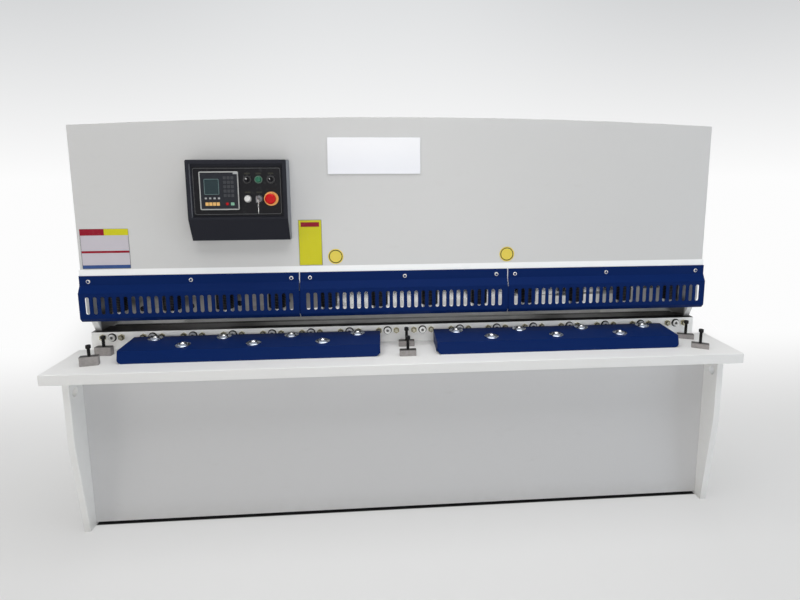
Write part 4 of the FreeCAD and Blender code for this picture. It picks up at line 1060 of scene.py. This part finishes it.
def makeMotorParts():
    y, z = motor["axis"]
    x, r = motor["end"], motor["cowl"]
    bm = bmesh.new()
    turned(bm, [(0, 0.030), (r * 0.30, 0.030), (r * 0.34, 0.026), (r * 0.86, 0.026), (r, 0.016), (r, -0.040),
                (r * 0.96, -0.040), (r * 0.96, 0), (0, 0)], (x, y, z), rightward, 40)
    finished(bm, "fanCowl", "motorPaint")
    bm = bmesh.new()
    half = Vector((0.0004, 0.0028, r * 0.20))
    for k in range(motor["slots"]):
        turn = Matrix.Rotation(math.tau * k / motor["slots"], 3, "X")
        spot = Vector((x + 0.0262, y, z)) + turn @ Vector((0, 0, r * 0.60))
        slab(bm, spot - half, spot + half, 0, turn)
    finished(bm, "cowlSlots", "rubberBlack")
    bm = bmesh.new()
    low, high = (Vector(c) for c in motor["box"])
    slab(bm, low, high - Vector((0, 0, 0.012)), 0.004)
    slab(bm, (low.x - 0.002, low.y - 0.002, high.z - 0.012), (high.x + 0.002, high.y + 0.002, high.z), 0.003)
    turned(bm, [(r * 0.7, 0.0), (r * 0.9, 0.0), (r * 0.9, 0.014), (r * 0.7, 0.020), (r * 0.7, 0.0)],
           (motor["ring"], y, z), rightward, 32)
    finished(bm, "terminalBox", "motorPaint")
    bm = bmesh.new()
    for sx in (low.x + 0.008, high.x - 0.008):
        for sy in (low.y + 0.008, high.y - 0.008):
            capScrew(bm, (sx, sy, high.z), upward, 0.0032)
    for k in range(4):
        turn = Matrix.Rotation(math.tau * (k + 0.5) / 4, 3, "X")
        hexBolt(bm, Vector((motor["ring"], y, z)) + turn @ Vector((-0.001, 0, r * 0.62)), (-1, 0, 0), 0.007)
    finished(bm, "motorBolts", "brightSteel")
    bm = bmesh.new()
    gland, route = motor["gland"], motor["conduit"]
    prism(bm, gland, front, 0.012, 0.010, 6, 0.001)
    turned(bm, [(0, 0.024), (0.007, 0.024), (0.010, 0.018), (0.010, 0.008), (0, 0.008)], gland, front, 16)
    pipe(bm, route, 0.007, 0.018)
    prism(bm, route[-1], rightward, 0.012, 0.012, 6, 0.001)
    finished(bm, "motorConduit", "rubberBlack", smooth=50)


# Electric cabinet: quarter-turn locks, hinges and a folded rain lip over the door
cabinet = {"door": -0.251, "left": -1.0463, "right": -0.5338, "top": 1.526,
           "locks": [1.300, 1.450], "hinges": [1.285, 1.465]}


def makeCabinetParts():
    left, right, door, top = (cabinet[key] for key in ("left", "right", "door", "top"))
    bm = bmesh.new()
    for z in cabinet["locks"]:
        turned(bm, [(0, 0.004), (0.004, 0.004), (0.004, 0.008), (0.011, 0.008), (0.013, 0.005), (0.013, 0),
                    (0, 0)], (right - 0.025, door, z), rear)
        slab(bm, (right - 0.033, door + 0.007, z - 0.002), (right - 0.017, door + 0.011, z + 0.002), 0.0008)
    finished(bm, "cabinetLocks", "brightSteel")
    bm = bmesh.new()
    for z in cabinet["hinges"]:
        prism(bm, (left - 0.004, door + 0.002, z - 0.025), upward, 0.006, 0.050, 14, 0.001)
        slab(bm, (left - 0.002, door - 0.0005, z - 0.022), (left + 0.022, door + 0.003, z + 0.022), 0.0008)
    finished(bm, "cabinetHinges", "blackOxide")
    bm = bmesh.new()
    slab(bm, (left - 0.010, door - 0.004, top + 0.002), (right + 0.010, door + 0.014, top + 0.005), 0.001)
    finished(bm, "cabinetLip", "whitePaint")


# Bolts of the ram flanges, and grease nipples of the pivots
rearFixings = {
    "ramFlange": {"spot": (1.165, -0.228, 1.232), "circle": 0.074, "count": 8, "radius": 0.0075},
    "pivot": (1.298, 0.325, 0.800),
}


def makeRearFixings():
    bm = bmesh.new()
    ram = rearFixings["ramFlange"]
    for side in (-1, 1):
        x, y, z = ram["spot"]
        for k in range(ram["count"]):
            turn = math.tau * (k + 0.5) / ram["count"]
            capScrew(bm, (side * x + ram["circle"] * math.cos(turn), y + ram["circle"] * math.sin(turn), z),
                     upward, ram["radius"])
    finished(bm, "ramBolts", "blackOxide")
    bm = bmesh.new()
    for side in (-1, 1):
        x, y, z = rearFixings["pivot"]
        prism(bm, (side * x, y, z), (side, 0, 0), 0.008, 0.005, 6, 0.0008)
        turned(bm, [(0, 0.014), (0.0028, 0.013), (0.0028, 0.009), (0.004, 0.005), (0, 0.005)],
               (side * x, y, z), (side, 0, 0), 12)
    finished(bm, "greaseNipples", "brightSteel")


# Weld beads: a scalloped seam along a straight run
welds = {
    "radius": 0.0035, "pitch": 0.006, "across": 1.257,
    "bothSides": [((0.436, 0.560), (0.515, 0.560)), ((-0.434, 0.300), (-0.434, 0.638)),
                  ((0.095, 1.210), (0.175, 1.210)), ((-0.550, 1.210), (-0.330, 1.210))],
    "rightOnly": [((-0.120, 1.210), (-0.108, 1.210))],
}


def makeWelds():
    bm = bmesh.new()
    radius, pitch = welds["radius"], welds["pitch"]
    runs = [(side * welds["across"], ends) for ends in welds["bothSides"] for side in (1, -1)]
    runs += [(welds["across"], ends) for ends in welds["rightOnly"]]
    for x, ends in runs:
        start, end = (Vector((x, *spot)) for spot in ends)
        run = end - start
        count = max(2, int(run.length / pitch))
        profile = [(0, 0)]
        for k in range(count):
            profile.append((radius * 0.80, run.length * k / count))
            profile.append((radius, run.length * (k + 0.5) / count))
        profile.append((0, run.length))
        turned(bm, profile, start, run.normalized(), 8)
    finished(bm, "weldSeams", "whitePaint", smooth=60)


makeHydraulics()
makeMotorParts()
makeCabinetParts()
makeRearFixings()
makeWelds()
print("hidden side dressed")

# Camera as the photograph was taken
camera = {"spot": (-0.0952, -2.78238, 1.43095), "pitch": 8.55, "yaw": 4.52, "roll": -0.17,
          "lens": 24.45, "sensor": 36.0, "shift": (-0.0302, -0.0667)}


def setCamera():
    pitch, yaw, roll = (math.radians(camera[k]) for k in ("pitch", "yaw", "roll"))
    ahead = Vector((math.sin(yaw) * math.cos(pitch), math.cos(yaw) * math.cos(pitch), -math.sin(pitch)))
    right = Vector((math.cos(yaw), -math.sin(yaw), 0))
    up = right.cross(ahead)
    across = right * math.cos(roll) + up * math.sin(roll)
    over = up * math.cos(roll) - right * math.sin(roll)
    lens = bpy.data.cameras.new("camera")
    lens.sensor_width, lens.lens = camera["sensor"], camera["lens"]
    lens.shift_x, lens.shift_y = camera["shift"]
    lens.clip_end = 100
    eye = bpy.data.objects.new("camera", lens)
    axes = Matrix((across, over, -ahead)).transposed().to_4x4()
    eye.matrix_world = Matrix.Translation(camera["spot"]) @ axes
    bpy.context.scene.collection.objects.link(eye)
    bpy.context.scene.camera = eye


setCamera()

# Studio: pale floor, pale surroundings, soft lamps
studio = {
    "floor": 60.0, "floorTone": (0.72, 0.72, 0.72), "near": (0.740, 0.740, 0.735),
    "fade": (-0.9, 1.6), "far": (3.6, 7.0), "share": 0.50, "ambient": 0.18,
    "horizon": (0.98, 0.98, 0.98), "corner": (0.60, 0.61, 0.62), "overhead": (0.74, 0.75, 0.76),
    "lamps": {
        "overhead": {"spot": (0.0, -1.15, 3.9), "aim": (0.0, -0.4, 0.8), "size": (4.0, 2.6), "watts": 112,
                     "tint": (1, 1, 1)},
        "front": {"spot": (0.1, -4.4, 1.4), "aim": (0.0, 0.0, 0.8), "size": (2.4, 1.2), "watts": 33,
                  "tint": (1, 1, 1)},
        "warmSide": {"spot": (-4.4, -2.4, 0.9), "aim": (1.25, -0.7, 0.3), "size": (1.6, 1.2), "watts": 36,
                     "tint": (1.0, 0.97, 0.92)},
        "coolSide": {"spot": (4.4, -2.4, 0.9), "aim": (-1.25, -0.7, 0.3), "size": (1.6, 1.2), "watts": 40,
                     "tint": (0.84, 0.92, 1.0)},
        "rear": {"spot": (0.5, 5.0, 3.4), "aim": (0.0, 0.0, 0.8), "size": (4.0, 2.5), "watts": 80,
                 "tint": (1, 1, 1)},
    },
}


def shownTo(board):
    # 1 for the camera, for mirror reflections and through glass
    path = [board.node("ShaderNodeLightPath", output=name)
            for name in ("Is Camera Ray", "Is Glossy Ray", "Is Transmission Ray")]
    seen = path[0] + path[1] + path[2]
    return seen.combine("MINIMUM", seen, 1.0)


def makeFloor():
    bm = bmesh.new()
    bmesh.ops.create_grid(bm, x_segments=1, y_segments=1, size=studio["floor"])
    mesh = bpy.data.meshes.new("floor")
    bm.to_mesh(mesh)
    bm.free()
    floor = bpy.data.objects.new("floor", mesh)
    bpy.context.scene.collection.objects.link(floor)
    coat = Coat("floorPaint")
    x, y = coat.x, coat.y
    worn = [c * 0.97 for c in studio["floorTone"]]
    tone = coat.blend(coat.noise(0.5, 3) * 0.3, studio["floorTone"], worn)
    # under: a near-black patch on the floor under the front of the object, painted shadow
    under = coat.step(y, -0.690, -0.684) * coat.step(y, -0.10, -0.45) * coat.step(x.size(), 1.262, 1.254)
    # floor behind the object without glow, as the photo shows it through the blade gap
    shadedBehind = coat.step(x.size() - y * 0.30, 2.35, 0.90) * coat.step(y, 0.5, 1.6) * coat.step(y, 4.2, 2.3)
    # the grey tone behind the object is painted shadow
    tone = coat.blend(shadedBehind, tone, (0.50, 0.50, 0.505))
    coat.feed("Base Color", coat.blend(under, tone, (0.015, 0.015, 0.016)))
    coat.fix(Roughness=0.75, Specular_IOR_Level=0.2)
    away = coat.step(y, *studio["fade"])
    far = coat.step(coat.distance((0, 0, 0)), *studio["far"])
    white = 1 - (1 - away * (1 - shadedBehind)) * (1 - far)
    glow = coat.node("ShaderNodeEmission", None,
                     {"Color": coat.blend(white, studio["near"], studio["horizon"]), "Strength": 1.0})
    lit = Signal(coat, coat.shader.outputs[0])
    share = (studio["share"] + white * (1 - studio["share"])) * (1 - under) * (1 - shadedBehind * (1 - far))
    mixed = coat.node("ShaderNodeMixShader", None, {0: share * shownTo(coat), 1: lit, 2: glow})
    coat.tree.links.new(mixed.socket, coat.tree.nodes["Material Output"].inputs["Surface"])
    mesh.materials.append(coat.material)


def lightWorld():
    world = bpy.data.worlds.new("studio")
    world.use_nodes = True
    bpy.context.scene.world = world
    board = Board(world.node_tree)
    way = board.split(board.node("ShaderNodeTexCoord", output="Generated"))
    across, height = way[0], way[2]
    top = board.blend(board.step(across.size(), 0.05, 0.60), studio["overhead"], studio["corner"])
    rise = board.node("ShaderNodeMapRange", None, {"Value": height, "From Min": -0.02, "From Max": 0.28})
    seen = board.blend(rise, studio["horizon"], top)
    backdrop = board.node("ShaderNodeBackground", None, {"Color": seen, "Strength": 1.0})
    ambient = board.node("ShaderNodeBackground", None, {"Color": (1, 1, 1), "Strength": studio["ambient"]})
    mixed = board.node("ShaderNodeMixShader", None, {0: shownTo(board), 1: ambient, 2: backdrop})
    board.tree.links.new(mixed.socket, world.node_tree.nodes["World Output"].inputs["Surface"])


def hangLamps():
    for name, lamp in studio["lamps"].items():
        light = bpy.data.lights.new(name, "AREA")
        light.shape, light.energy, light.color = "RECTANGLE", lamp["watts"], lamp["tint"]
        light.size, light.size_y = lamp["size"]
        hung = bpy.data.objects.new(name, light)
        way = Vector(lamp["aim"]) - Vector(lamp["spot"])
        aim = way.to_track_quat("-Z", "Y").to_matrix().to_4x4()
        hung.matrix_world = Matrix.Translation(lamp["spot"]) @ aim
        bpy.context.scene.collection.objects.link(hung)


makeFloor()
lightWorld()
hangLamps()
bpy.context.scene.view_settings.view_transform = "Standard"
print("studio lit")
